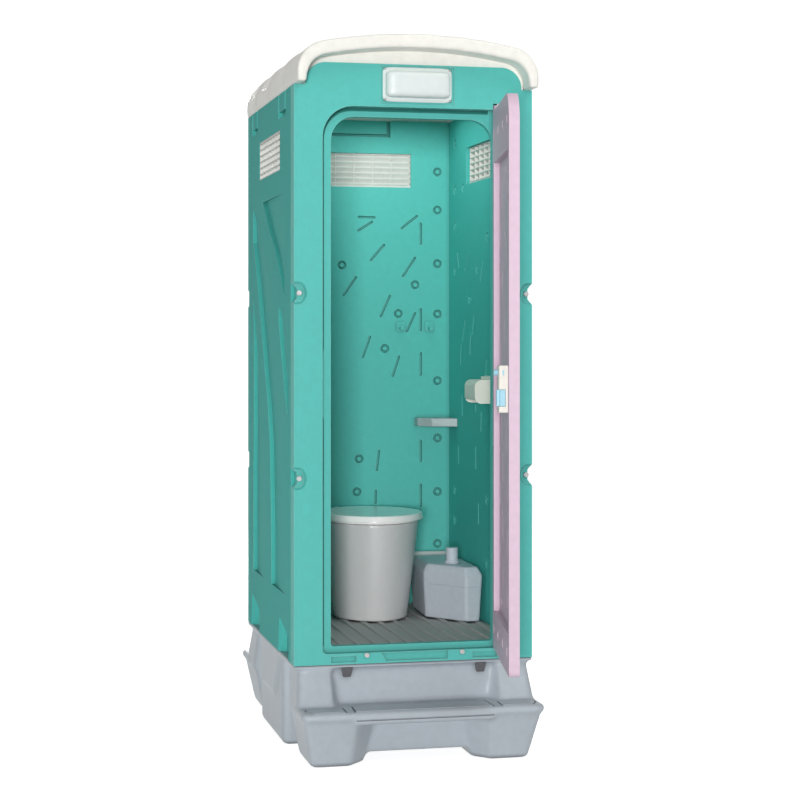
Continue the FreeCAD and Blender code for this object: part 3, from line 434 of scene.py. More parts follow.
def merged(node, name, join=True):
    """A copy of a CAD node's mesh with its doubles merged and, to be bevelled, its flat faces joined."""
    mesh = frame["nodes"][node].data.copy()
    mesh.name = name
    if "custom_normal" in mesh.attributes:
        mesh.attributes.remove(mesh.attributes["custom_normal"])
    shape = bmesh.new()
    shape.from_mesh(mesh)
    bmesh.ops.remove_doubles(shape, verts=shape.verts, dist=2e-6)
    if join:
        bmesh.ops.dissolve_limit(shape, angle_limit=math.radians(0.5), verts=shape.verts, edges=shape.edges)
    shape.to_mesh(mesh)
    shape.free()
    return mesh


def home(node):
    """The body that a node rides on and its material slot."""
    record = frame["record"]
    body = next(b for b, nodes in record["behaviour"]["bodies"].items() if node in nodes)
    return body, next(s["material_slot"] for s in record["subparts"] if s["node"] == node)


def softened(node, name, finish, width, segments=3, angle=28, share=None):
    """A CAD node's form with its edges rounded off, standing for the node.

    An edge that turns more than the angle is rounded by the width, times share(its middle) where given."""
    mesh = merged(node, name)
    bevel_share(mesh, math.radians(angle), share)
    item = dressed(name, mesh, finish, *home(node), angle=35)
    bevel = item.modifiers.new("round", "BEVEL")
    bevel.width = width
    bevel.segments = segments
    bevel.limit_method = "WEIGHT"
    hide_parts(node)
    return item


def moulded(node, name, finish, cell, relax=6):
    """A CAD node's form as one moulded skin, standing for the node.

    The form is rebuilt from cells of one size, each point then moves halfway to its neighbours' middle a few
    times, which rounds every corner by about two cells, and no point leaves the node's box."""
    item = dressed(name, merged(node, name, join=False), finish, *home(node))
    cells = item.modifiers.new("cells", "REMESH")
    cells.mode = "VOXEL"
    cells.voxel_size = cell
    soft = item.modifiers.new("relax", "SMOOTH")
    soft.factor = 0.5
    soft.iterations = relax
    settled(item, finish, 180)
    points = np.empty(len(item.data.vertices) * 3)
    item.data.vertices.foreach_get("co", points)
    low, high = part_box(node)
    item.data.vertices.foreach_set("co", np.clip(points.reshape(-1, 3), low, high).ravel())
    item.data.update()
    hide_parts(node)
    return item


def settled(item, finish, angle):
    """Makes what a piece's modifiers give the piece's own mesh."""
    graph = bpy.context.evaluated_depsgraph_get()
    graph.update()
    done = bpy.data.meshes.new_from_object(item.evaluated_get(graph))
    item.modifiers.clear()
    done.name = item.data.name
    item.data = done
    done.materials.clear()
    done.materials.append(finish)
    done.shade_smooth()
    if angle < 180:
        done.set_sharp_from_angle(angle=math.radians(angle))
    return item


def bevel_share(mesh, angle, share):
    """Writes each edge's bevel weight: share(its middle) where it turns more than the angle, else 0."""
    shape = bmesh.new()
    shape.from_mesh(mesh)
    turn = np.array([edge.calc_face_angle(0.0) for edge in shape.edges])
    shape.free()
    ends = np.empty(len(mesh.edges) * 2, int)
    mesh.edges.foreach_get("vertices", ends)
    points = np.empty(len(mesh.vertices) * 3)
    mesh.vertices.foreach_get("co", points)
    middle = (points.reshape(-1, 3)[ends.reshape(-1, 2)].mean(1) - np.array([0, FRONT, DECK])) * 1000
    weight = np.where(turn > angle, 1.0 if share is None else share(middle), 0.0)
    mesh.attributes.new("bevel_weight_edge", "FLOAT", "EDGE").data.foreach_set("value", weight)


def pits(marks, radius, depth, place, lip=1.5, sides=20):
    """Closed cutters for moulded pits, one for each (start, end) pair of points on a flat face.

    Around a pit the point is the nearer end plus r (cos a t + sin a n), a racetrack along t, and a circle
    where both ends meet. Going in, r shrinks from the lip over the face to four tenths of the radius on the
    floor. place turns face coordinates (u, v, depth), in millimetres, into metres in the row frame."""
    marks = np.asarray(marks, float)
    start, end = marks[:, 0], marks[:, 1]
    run = end - start
    length = np.linalg.norm(run, axis=1, keepdims=True)
    along = np.where(length > 0, run / np.maximum(length, 1e-9), np.array([[1.0, 0.0]]))
    side = along[:, ::-1] * np.array([-1.0, 1.0])
    turn = (np.arange(sides) + 0.5) / sides * 2 * math.pi
    levels = np.array([(radius + lip, -1.0), (radius, 0.0), (radius * 0.85, depth * 0.4),
                       (radius * 0.6, depth * 0.9), (radius * 0.4, depth)])
    centre = (start + end)[:, None] / 2 + np.sign(np.cos(turn))[None, :, None] * run[:, None] / 2
    spoke = np.cos(turn)[None, :, None] * along[:, None] + np.sin(turn)[None, :, None] * side[:, None]
    flat = centre[:, None] + levels[None, :, 0, None, None] * spoke[:, None]
    sunk = np.broadcast_to(levels[None, :, 1, None, None], (*flat.shape[:3], 1))
    grid = place(np.concatenate([flat, sunk], -1))
    return [(shell, False, True, True) for shell in grid]


def rings(centres, outer, inner, depth, place, sides=28):
    """Closed cutters for ring grooves round the centres: a small section carried round a circle by angle."""
    turn = np.arange(sides) / sides * 2 * math.pi
    middle = (outer + inner) / 2
    section = np.array([(outer + 0.6, -1), (outer - 0.4, 0.5), (middle + 1, depth), (middle - 1, depth),
                        (inner + 0.4, 0.5), (inner - 0.6, -1)])
    centres = np.asarray(centres, float)
    spoke = np.stack([np.cos(turn), np.sin(turn)], -1)
    flat = centres[:, None, None] + spoke[None, :, None] * section[None, None, :, :1]
    sunk = np.broadcast_to(section[None, None, :, 1:], (*flat.shape[:3], 1))
    return [(shell, True, True, False) for shell in place(np.concatenate([flat, sunk], -1))]


def closed_mesh(name, shells):
    """One mesh from closed shells, each (grid, wrap_rows, wrap_cols, capped), faces outwards."""
    points, faces, base = [], [], 0
    for grid, wrap_rows, wrap_cols, capped in shells:
        rows, cols = grid.shape[:2]
        points.append(grid.reshape(-1, 3))
        faces += (grid_faces(rows, cols, wrap_rows, wrap_cols) + base).tolist()
        if capped:
            faces.append((np.arange(cols)[::-1] + base).tolist())
            faces.append((np.arange(cols) + base + (rows - 1) * cols).tolist())
        base += rows * cols
    mesh = bpy.data.meshes.new(name)
    mesh.from_pydata(np.concatenate(points).tolist(), [], faces)
    shape = bmesh.new()
    shape.from_mesh(mesh)
    bmesh.ops.remove_doubles(shape, verts=shape.verts, dist=1e-7)
    bmesh.ops.recalc_face_normals(shape, faces=shape.faces)
    shape.to_mesh(mesh)
    shape.free()
    return mesh


def cut_out(item, shells, finish, angle=35):
    """Cuts closed shells out of a piece and keeps the result as the piece's own mesh.

    The piece's faces are split into triangles first, because a bent face can be lost in the cut."""
    cutter = bpy.data.objects.new(item.name + "_cutter", closed_mesh("cutter", shells))
    bpy.context.scene.collection.objects.link(cutter)
    item.modifiers.new("flat", "TRIANGULATE")
    cut = item.modifiers.new("pits", "BOOLEAN")
    cut.operation = "DIFFERENCE"
    cut.solver = "EXACT"
    cut.object = cutter
    settled(item, finish, angle)
    bpy.data.objects.remove(cutter)
    # Where faces share a point, the larger one sets its normal, so that flat skin stays even up to a bend
    item.modifiers.new("normals", "WEIGHTED_NORMAL").keep_sharp = True
    return item


def channel(path, section, place, share=1.0, closed=False):
    """A closed cutter for a moulded channel: a section of (offset, depth) points carried along a path.

    Offsets run to the left of the path on its face, along the mitre (n0 + n1) / (1 + n0.n1) of the normals
    of the runs that meet at a point, and share scales the section point by point."""
    path, section = np.asarray(path, float), np.asarray(section, float)
    runs = (np.roll(path, -1, 0) if closed else path[1:]) - (path if closed else path[:-1])
    normals = runs[:, ::-1] * np.array([-1.0, 1.0]) / np.linalg.norm(runs, axis=1, keepdims=True)
    before = np.roll(normals, 1, 0) if closed else np.vstack([normals[:1], normals])
    after = normals if closed else np.vstack([normals, normals[-1:]])
    mitre = (before + after) / (1 + (before * after).sum(1, keepdims=True))
    share = np.broadcast_to(np.asarray(share, float), len(path))[:, None, None]
    flat = path[:, None] + section[None, :, :1] * share * mitre[:, None]
    sunk = np.where(section[None, :, 1:] > 0, section[None, :, 1:] * share, section[None, :, 1:])
    grid = place(np.concatenate([flat, np.broadcast_to(sunk, (*flat.shape[:2], 1))], -1))
    return grid, closed, True, not closed


def across(level, into=1, middle=(0, 0)):
    """A placer for a face at y = level: u and v are x and z from a middle, and depth goes in along y."""
    return lambda flat: cabin(np.stack([middle[0] + flat[..., 0], level + into * flat[..., 2],
                                        middle[1] + flat[..., 1]], -1))


def lengthwise(level, into, middle=(0, 0)):
    """A placer for a face at x = level: u and v are y and z from a middle, and depth goes in along x."""
    return lambda flat: cabin(np.stack([level + into * flat[..., 2], middle[0] + flat[..., 0],
                                        middle[1] + flat[..., 1]], -1))


# Pieces

# Tongues of the side walls under the roof: (middle, half width) along the cabin, and where they begin
TONGUES = [(258, 59), (907.5, 46.5)]
TONGUE_FOOT = 1976


def corner_share(middle, near=2, elsewhere=0.34):
    """Full rounding on the upright outer corners and on the tongues under the roof, less elsewhere."""
    x, y, z = np.abs(middle[:, 0]), middle[:, 1], middle[:, 2]
    corner = (y < near) | (y > BACK_OUTSIDE - near)
    beside = np.any([np.abs(np.abs(y - at) - half) < 1.5 for at, half in TONGUES], axis=0)
    return np.where((x > HALF_WIDTH - near) & (corner | (z > TONGUE_FOOT) & beside), 1.0, elsewhere)


# Marks on the room side of the back wall (x, z) and of the side walls (y, z)
BACK_DIMPLES = [*((351, z) for z in (1837, 1679, 1457, 1249, 973, 736, 514, 299)),
                (-52, 1448), (256, 1369), (185, 1250), (128, 1106), (20, 654), (11, 519)]
BACK_SLITS = [((19, 1646), (84, 1645)), ((17, 1591), (73, 1626)), ((200, 1603), (263, 1653)),
              ((280, 1621), (280, 1540)), ((69, 1470), (124, 1532)), ((204, 1405), (255, 1480)),
              ((-44, 1326), (6, 1398)), ((111, 1240), (149, 1323)), ((221, 1179), (255, 1251)),
              ((280, 1268), (280, 1183)), ((36, 1072), (65, 1154)), ((162, 995), (187, 1072)),
              ((280, 1086), (280, 999)), ((94, 608), (103, 685)), ((280, 724), (280, 642)),
              ((88, 472), (89, 521)), ((280, 543), (280, 456))]
SIDE_DIMPLES = [(972, 1609), (484, 1541), (972, 1424), (630, 1421), (743, 1303), (972, 527), (484, 527),
                (972, 404), (484, 281), (972, 1947), (972, 1756), (844, 1756)]
SIDE_SLITS = [((931, 1494), (908, 1440)), ((755, 1487), (811, 1425)), ((541, 1440), (577, 1374)),
              ((811, 1216), (850, 1139)), ((677, 1236), (699, 1167)), ((872, 1120), (882, 1048)),
              ((723, 1160), (735, 1086)), ((488, 1060), (512, 998)), ((856, 916), (856, 841)),
              ((646, 941), (646, 865)), ((565, 860), (571, 792)), ((914, 709), (914, 643)),
              ((646, 720), (646, 640)), ((607, 499), (607, 427)), ((300, 1490), (330, 1420)),
              ((250, 1250), (268, 1175)), ((330, 1010), (345, 935)), ((240, 780), (240, 705)),
              ((330, 560), (330, 485))]


RING = {"outer": 19, "inner": 8, "depth": 9}
SLIT = {"radius": 5.5, "depth": 9, "lip": 0.6}
# Marks on the back wall further than this from its middle are repeated on its other half
POST = 120


def spots(points):
    """Round marks: each point stands for both ends."""
    return [(point, point) for point in points]


def mirrored(marks, beyond):
    """The marks' mirror images across the middle, where these lie wholly beyond a distance from it."""
    flipped = [tuple((-u, v) for u, v in mark) for mark in marks]
    return [mark for mark in flipped if max(u for u, v in mark) < -beyond]


# The door rebate: half width, top, corner radius and floor; the recess at the back wall's head
REBATE_HALF, REBATE_TOP, REBATE_ROUND, REBATE_FLOOR = 333, 1970, 113, 36
KEEPER_PATH = (60, 860, 890, 1085, 1115)
HIGH_RECESS = {"half": 150.5, "foot": 1976.5, "top": 2060, "floor": 1078}
# The pockets of the corner bolts on the front: levels, half height, reach and middle
POCKET_LEVELS, POCKET_HALF, POCKET_REACH, POCKET_MIDDLE = (657, 1309), 29, 20, -419


def rebate_groove():
    """The rebate's shadow groove: up the lock side, finer by the keeper, round the corner and along."""
    turn = np.linspace(math.pi, math.pi / 2, 11)
    corner = np.stack([REBATE_ROUND - REBATE_HALF + REBATE_ROUND * np.cos(turn),
                       REBATE_TOP - REBATE_ROUND + REBATE_ROUND * np.sin(turn)], -1)
    path = np.vstack([[(-REBATE_HALF, z) for z in KEEPER_PATH], corner, [(280, REBATE_TOP)]])
    widen = np.concatenate([[0.8, 0.8, 0.36, 0.36, 0.8], np.linspace(0.8, 1, 11), [1.0]])
    return channel(path, [(-0.4, -1), (-0.4, 19), (-15, -1)], across(REBATE_FLOOR), widen)


def pocket_rims():
    """The sunk rims round the corner bolts' pockets, half an ellipse each, on both sides."""
    turn = np.linspace(-math.pi / 2, math.pi / 2, 13)
    arc = np.stack([POCKET_MIDDLE + POCKET_REACH * np.cos(turn), POCKET_HALF * np.sin(turn)], -1)
    outside = -HALF_WIDTH - 3
    rim = np.vstack([[(outside, -POCKET_HALF)], arc, [(outside, POCKET_HALF)]])
    section = np.array([(2, -1), (2, 12), (-3, 12), (-12, -1)])
    return [channel((rim + [0, level]) * [side, 1], section * [side, 1], across(0))
            for level in POCKET_LEVELS for side in (1, -1)]


class CABIN_OT_walls(bpy.types.Operator):
    """Make the front, side and back mouldings with their pits"""
    bl_idname = "cabin.walls"
    bl_label = "Walls"

    def execute(self, context):
        skins = {"front": wall_finish, "left": side_finish, "right": side_finish, "rear": wall_finish}
        walls = {end: softened(end + "_panel", end + "_wall", finish(), sizes().edge, share=corner_share)
                 for end, finish in skins.items()}
        cut_out(walls["front"], [rebate_groove(), *pocket_rims()], wall_finish())
        half, foot, top = HIGH_RECESS["half"], HIGH_RECESS["foot"], HIGH_RECESS["top"]
        frame_line = [(-half, top), (-half, foot), (half, foot), (half, top)]
        on_back = across(BACK_FACE)
        both = BACK_DIMPLES + [(-u, v) for u, v in BACK_DIMPLES if u > POST]
        cut_out(walls["rear"],
                rings(both, **RING, place=on_back)
                + pits(BACK_SLITS + mirrored(BACK_SLITS, POST), **SLIT, place=on_back)
                + [channel(frame_line, [(0, -1), (0, 9), (9, 9), (13, -1)], across(HIGH_RECESS["floor"]))],
                wall_finish())
        for end, side in (("right", 1), ("left", -1)):
            inside = lengthwise(side * SIDE_FACE, side)
            cut_out(walls[end], rings(SIDE_DIMPLES, **RING, place=inside)
                    + pits(SIDE_SLITS, **SLIT, place=inside), side_finish())
        return {"FINISHED"}


def louvres(size, cells, drop, blade, place):
    """Closed shells for a louvred grille in face coordinates (across, up, in), in millimetres.

    The rim is a small section carried round a rectangle. A blade's section is a strip of the blade's
    thickness about the line that falls by drop from the inner face to the outer one, bowed by a sine.
    Ribs are upright strips between the blades, set back from both faces."""
    (width, height, deep), (columns, rows), rim, rib, chamfer = size, cells, 5.0, 3.0, 0.6
    section = np.array([(0, chamfer), (0, deep - chamfer), (chamfer, deep), (rim, deep), (rim, 0),
                        (chamfer, 0)])
    reach = np.array([(-1, -1), (1, -1), (1, 1), (-1, 1)])
    half = np.array([width / 2, height / 2])
    flat = reach[:, None] * (half - section[None, :, :1])
    rim_grid = np.concatenate([flat, np.broadcast_to(section[None, :, 1:], (4, 6, 1))], -1)
    shells = [(rim_grid, True, True, False)]
    inner = height - 2 * rim
    pitch = (inner + blade) / rows
    along = np.linspace(0, 1, 6)
    bow = 0.8 * np.sin(along * math.pi)
    line = np.concatenate([np.stack([along * deep, along * drop + bow], -1),
                           np.stack([along * deep, along * drop + bow + blade], -1)[::-1]])
    start = -height / 2 + rim - drop / 2 - blade / 2
    # At the rim a blade gets thinner and ends level, but keeps a little of its thickness
    upper = np.repeat([0.0, 0.4], len(along))
    lowest, highest = -height / 2 + 1 + upper, height / 2 - 1.4 + upper
    for row in range(rows + 1):
        up = np.clip(start + row * pitch + line[:, 1], lowest, highest)
        ends = np.array([-1, 1]) * (width / 2 - 1)
        grid = np.stack(np.broadcast_arrays(ends[:, None], up[None, :], line[None, :, 0]), -1)
        shells.append((grid, False, True, True))
    strip = np.array([(-rib / 2, 1.0), (-rib / 2, deep - 1.0), (rib / 2, deep - 1.0), (rib / 2, 1.0)])
    for column in range(1, columns):
        middle = -width / 2 + rim + (width - 2 * rim) * column / columns
        ends = np.array([-1, 1]) * (height / 2 - 1)
        arrays = np.broadcast_arrays(middle + strip[None, :, 0], ends[:, None], strip[None, :, 1])
        grid = np.stack(arrays, -1)
        shells.append((grid, False, True, True))
    return [(place(grid), *kind) for grid, *kind in shells]


class CABIN_OT_vents(bpy.types.Operator):
    """Make the louvred vents"""
    bl_idname = "cabin.vents"
    bl_label = "Vents"

    def execute(self, context):
        blade = 4.0
        for end, cells, drop in (("left", (7, 6), 13), ("right", (7, 6), 13), ("rear", (6, 6), 19)):
            node = "vent_grille_" + end
            low, high = box_mm(node)
            (wide, deep, tall), middle = high - low, (low + high) / 2
            if end == "rear":
                size, place = (wide, tall, deep), across(high[1], -1, middle[::2])
            else:
                side, outside = (1, high[0]) if end == "right" else (-1, low[0])
                size, place = (deep, tall, wide), lengthwise(outside, -side, middle[1:])
            shells = louvres(size, cells, drop, blade, place)
            item = solid("louvres_" + end, shells, vent_finish(), *home(node))
            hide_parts(node)
        return {"FINISHED"}


class CABIN_OT_roof(bpy.types.Operator):
    """Make the arched roof and its gable panels"""
    bl_idname = "cabin.roof"
    bl_label = "Roof"

    def execute(self, context):
        moulded("roof", "roof_cap", roof_finish(), sizes().roof_cell, 5)
        for end in ("front", "rear"):
            softened("gable_panel_" + end, "gable_" + end, roof_finish(), 0.002)
        return {"FINISHED"}


# The leaf stands open at rest: its marks are written for the shut leaf and turned about the hinge
HINGE = (310.0, 13.5)
OPEN = math.radians(79)
LEAF_FACE, RECESS_FACE = 31, 11
LEAF_DIMPLES = [(x, z) for z in (112, 1875) for x in (-248, -78, 92, 262)]
RECESS_DIMPLES = [(25, 1735), (177, 216)]
RECESS_SLITS = [((11, 1700), (-58, 1625)), ((205, 1693), (150, 1615)),
                ((245, 1562), (205, 1475)), ((50, 1521), (-11, 1427)), ((161, 1391), (140, 1312)),
                ((252, 1302), (236, 1214)), ((75, 1217), (56, 1132)), ((228, 1130), (205, 1056)),
                ((-95, 1330), (-120, 1250)), ((-180, 1560), (-215, 1480)), ((144, 742), (140, 648)),
                ((-27, 857), (-27, 765)), ((176, 878), (169, 800)), ((141, 552), (141, 457)),
                ((-58, 494), (-58, 407)), ((122, 378), (112, 291)), ((-44, 660), (-56, 586)),
                ((-51, 310), (-56, 230)), ((-190, 820), (-196, 740)), ((-200, 560), (-200, 480)),
                ((-190, 330), (-190, 250)), ((230, 640), (230, 560)), ((235, 420), (235, 340))]


def on_leaf(level):
    """A placer for marks on the leaf's inner side, level millimetres behind the front face when shut."""
    def place(flat):
        x, y = flat[..., 0] - HINGE[0], level - flat[..., 2] - HINGE[1]
        return cabin(np.stack([HINGE[0] + x * math.cos(OPEN) - y * math.sin(OPEN),
                               HINGE[1] + x * math.sin(OPEN) + y * math.cos(OPEN), flat[..., 1]], -1))
    return place


class CABIN_OT_door(bpy.types.Operator):
    """Make the door leaf with its hinge pins"""
    bl_idname = "cabin.door"
    bl_label = "Door"

    def execute(self, context):
        leaf = softened("door_leaf", "door_skin", door_finish(), 0.005)
        cut_out(leaf, pits(spots(LEAF_DIMPLES), 18, 8, on_leaf(LEAF_FACE))
                + pits(spots(RECESS_DIMPLES), 15, 6, on_leaf(RECESS_FACE))
                + pits(RECESS_SLITS, 5, 6, on_leaf(RECESS_FACE), 0.6), door_finish())
        softened("hinge_pins", "pins", steel_finish(), 0.0008, 2)
        softened("hinge_bushes", "bushes", dark_finish(), 0.0006, 2)
        return {"FINISHED"}


class CABIN_OT_lock(bpy.types.Operator):
    """Make the lock with its bolt, catch, keeper and outer plate"""
    bl_idname = "cabin.lock"
    bl_label = "Lock"

    def execute(self, context):
        edge = sizes().small_edge
        softened("lock_case", "lock_body", trim_finish(), edge)
        softened("outer_plate", "lock_plate", trim_finish(), edge * 0.6)
        softened("lock_bolt", "bolt_and_knob", blue_finish(), edge)
        softened("door_catch", "catch_block", blue_finish(), edge)
        softened("lock_keeper", "keeper_plate", steel_finish(), edge * 0.4)
        return {"FINISHED"}


class CABIN_OT_lamp(bpy.types.Operator):
    """Make the lamp over the door"""
    bl_idname = "cabin.lamp"
    bl_label = "Lamp"

    @staticmethod
    def outline(half, power, sides=96):
        """A rectangle with rounded corners: |u/a|^p + |v/b|^p = 1 by angle."""
        turn = (np.arange(sides) + 0.5) / sides * 2 * math.pi
        c, s = np.cos(turn), np.sin(turn)
        reach = (np.abs(c) ** power + np.abs(s) ** power) ** (-1 / power)
        return np.stack([half[0] * c * reach, half[1] * s * reach], -1)[None]

    def execute(self, context):
        low, high = box_mm("lamp_frame")
        thick, window = high[1], (101.5, 40)
        over_door = across(0, 1, ((low + high) / 2)[::2])
        plate = self.outline(((high - low) / 2)[::2], 10)
        window = self.outline(window, 6)
        # The plate's section from the window to its edge: (share of the way, depth)
        steps = np.array([(1, thick), (1, 2), (0.92, 0.2), (0.8, 0), (0.04, 0), (0, 1), (0, thick)])
        flat = window + steps[:, :1, None] * (plate - window)
        ring = np.concatenate([flat, np.broadcast_to(steps[:, 1, None, None], (*flat.shape[:2], 1))], -1)
        rim = solid("lamp_rim", [(over_door(ring), True, True, False)], lens_finish(), *home("lamp_frame"))
        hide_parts("lamp_frame")
        # Loaf: an outline that shrinks by 1 - t^3 as the height grows by 1 - (1 - t)^2.4
        low, high = box_mm("lamp_lens")
        bulge = 34
        steps = np.linspace(0, 1, 18)
        size = np.concatenate([[0.86, 0.86, 0.995], 1 - 0.98 * steps ** 3])
        rise = np.concatenate([[5.5, 0.4, 0.2], -bulge * (1 - (1 - steps) ** 2.4)])
        flat = size[:, None, None] * self.outline(((high - low) / 2)[::2], 9)
        dome = np.concatenate([flat, np.broadcast_to(rise[:, None, None], (*flat.shape[:2], 1))], -1)
        shells = [(over_door(dome), False, True, True)]
        cover = solid("lamp_cover", shells, lens_finish(), *home("lamp_lens"))
        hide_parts("lamp_lens")
        softened("lamp_screws", "lamp_screw_heads", steel_finish(), 0.001)
        return {"FINISHED"}


class CABIN_OT_fasteners(bpy.types.Operator):
    """Make the corner bolts, sill screws and tank clips"""
    bl_idname = "cabin.fasteners"
    bl_label = "Fasteners"

    def execute(self, context):
        softened("corner_bolts", "corner_bolt_heads", steel_finish(), 0.001)
        softened("sill_screws", "sill_screw_heads", steel_finish(), 0.001)
        softened("tank_clips", "wall_clips", dark_finish(), 0.0015)
        return {"FINISHED"}


# The tread's grooved pads as outlines (x, y), its level, and the middle of the tank along the cabin
TREAD_LEVEL, MIDDLE = -139, 550
NOSING_LEVEL, NOSING_HALF = -166, 246
TREAD_PADS = [[(-248, -158), (248, -158), (240, -46), (-240, -46)],
              [(279, -156), (392, -156), (412, -118), (412, -78), (279, -78)],
              [(-279, -78), (-412, -78), (-412, -118), (-392, -156), (-279, -156)]]


class CABIN_OT_tank(bpy.types.Operator):
    """Make the step tank"""
    bl_idname = "cabin.tank"
    bl_label = "Tank"

    def execute(self, context):
        shell = moulded("base_tank", "tank_shell", tank_finish(), sizes().tank_cell, 3)

        def on_tread(side):
            return lambda flat: cabin(np.stack([flat[..., 0], MIDDLE + side * (flat[..., 1] - MIDDLE),
                                                TREAD_LEVEL - flat[..., 2]], -1))

        low, high = box_mm("base_tank")
        nosing = [(-NOSING_HALF, NOSING_LEVEL), (NOSING_HALF, NOSING_LEVEL)]
        grooves = []
        for side, front in ((1, low[1]), (-1, high[1])):
            grooves += [channel(pad, [(-5, -5), (-1, 5), (1, 5), (5, -5)], on_tread(side), closed=True)
                        for pad in TREAD_PADS]
            grooves.append(channel(nosing, [(-6, -8), (-1.5, 6), (1.5, 6), (6, -8)], across(front, side)))
        cut_out(shell, grooves, tank_finish(), 60)
        return {"FINISHED"}


class CABIN_OT_floor(bpy.types.Operator):
    """Make the ribbed floor"""
    bl_idname = "cabin.floor"
    bl_label = "Floor"

    def execute(self, context):
        softened("floor_pan", "floor_ribbed", floor_finish(), 0.0015)
        return {"FINISHED"}


class CABIN_OT_toilet(bpy.types.Operator):
    """Make the pedestal, bowl, seat and lid"""
    bl_idname = "cabin.toilet"
    bl_label = "Toilet"

    def execute(self, context):
        cell = sizes().toilet_cell
        moulded("pedestal", "pedestal_body", pedestal_finish(), cell * 1.25, 5)
        softened("bowl", "bowl_skin", seat_finish(), 0.001)
        softened("seat", "seat_ring", seat_finish(), 0.003)
        moulded("lid", "lid_cover", seat_finish(), cell * 0.8, 5)
        softened("seat_hinge", "seat_hinge_posts", trim_finish(), 0.001)
        return {"FINISHED"}


# The flush tank's moulding seam: its level and its outline from above
FLUSH_SEAM = 192
FLUSH_PLAN = [(192.5, 653), (318, 486), (386, 497), (393.5, 949.5), (207, 947)]


class CABIN_OT_flush(bpy.types.Operator):
    """Make the flush tank with its pump and pipe"""
    bl_idname = "cabin.flush"
    bl_label = "Flush"

    def execute(self, context):
        box = moulded("flush_tank", "flush_box", flush_finish(), sizes().toilet_cell * 1.25, 6)

        def at_seam(flat):
            return cabin(flat + [0, 0, FLUSH_SEAM])

        seam = channel(FLUSH_PLAN, [(-5, -3), (2, 0), (-5, 3)], at_seam, closed=True)
        cut_out(box, [seam], flush_finish(), 60)
        softened("pump_collar", "pump_ring", flush_finish(), 0.0015)
        softened("pump_plunger", "pump_knob", flush_finish(), 0.002)
        softened("flush_pipe", "flush_tube", pedestal_finish(), 0.0015)
        return {"FINISHED"}


class CABIN_OT_fittings(bpy.types.Operator):
    """Make the hooks, shelf and paper holder"""
    bl_idname = "cabin.fittings"
    bl_label = "Fittings"

    def execute(self, context):
        edge = sizes().small_edge
        softened("coat_hooks", "hooks", wall_finish(), edge)
        softened("corner_shelf", "shelf", shelf_finish(), edge * 2)
        softened("paper_holder", "holder_frame", trim_finish(), edge)
        softened("paper_cover", "holder_cover", trim_finish(), edge)
        return {"FINISHED"}


class CABIN_OT_pump_out(bpy.types.Operator):
    """Make the port for emptying the tank"""
    bl_idname = "cabin.pump_out"
    bl_label = "Pump-out port"

    def execute(self, context):
        softened("pump_out_neck", "port_neck", dark_finish(), 0.001)
        softened("pump_out_cap", "port_cap", dark_finish(), 0.001)
        return {"FINISHED"}


# Stage

def seen_directly(tree):
    """1 for what the camera, mirrors and glass see, 0 for light that falls on the object."""
    path = wire(tree, "ShaderNodeLightPath")
    mirrored = wire(tree, "ShaderNodeMath", [(0, path.outputs["Is Glossy Ray"]),
                                             (1, path.outputs["Is Transmission Ray"])], operation="MAXIMUM")
    return wire(tree, "ShaderNodeMath", [(0, path.outputs["Is Camera Ray"]), (1, mirrored.outputs[0])],
                operation="MAXIMUM").outputs[0]


def stage_finish(name, rgb, glow):
    """Matt ground that takes the shadow; it looks white and lights nothing."""
    made = bpy.data.materials.new(name)
    made.use_nodes = True
    tree = made.node_tree
    shader = tree.nodes["Principled BSDF"]
    shader.inputs["Base Color"].default_value = (*rgb, 1)
    shader.inputs["Roughness"].default_value = 1.0
    shader.inputs["Specular IOR Level"].default_value = 0.0
    shader.inputs["Emission Color"].default_value = (1, 1, 1, 1)
    tree.links.new(calc(tree, "MULTIPLY", seen_directly(tree), glow), shader.inputs["Emission Strength"])
    return made


def lamp(name, place, aim, size, watts, hidden):
    """A square soft lamp that looks at a point."""
    light = bpy.data.lights.new(name, "AREA")
    light.size = size
    light.energy = watts
    item = bpy.data.objects.new(name, light)
    bpy.context.scene.collection.objects.link(item)
    item.location = place
    item.rotation_euler = (Vector(aim) - Vector(place)).to_track_quat("-Z", "Y").to_euler()
    item.visible_camera = not hidden
    return item


# Soft lamps: name, place, aim, size, watts, hidden from the camera
LAMPS = [("key", (-4.2, -15.4, 1.9), (0, 0, 1.3), 2.2, 1520, False),
         ("side", (-3.2, -1.3, 0.4), (0, 0.2, 0.5), 1.8, 14, False),
         ("behind", (0.1, 7.6, 3.2), (0, 0.2, 1.3), 0.9, 220, False),
         ("top", (2.0, -3.2, 6.0), (0, -0.3, 1.2), 3.0, 110, False),
         ("inside", (0, 0.25, 2.38), (0, 0.25, 1.0), 0.7, 2.8, True)]
# The ground: front end, start and radius of the sweep, half width and height
GROUND_FRONT, SWEEP_START, SWEEP_ROUND, GROUND_HALF, GROUND_TOP = -14, 8, 3, 16, 14
WORLD_LIGHT, GROUND_GLOW = 0.12, 0.85
CAMERA_PLACE, CAMERA_TURN = (-1.5773, -6.9384, 1.4976), -12.98
CAMERA_LENS, CAMERA_SENSOR, CAMERA_SHIFT = 86.0, 36.0, -0.0799


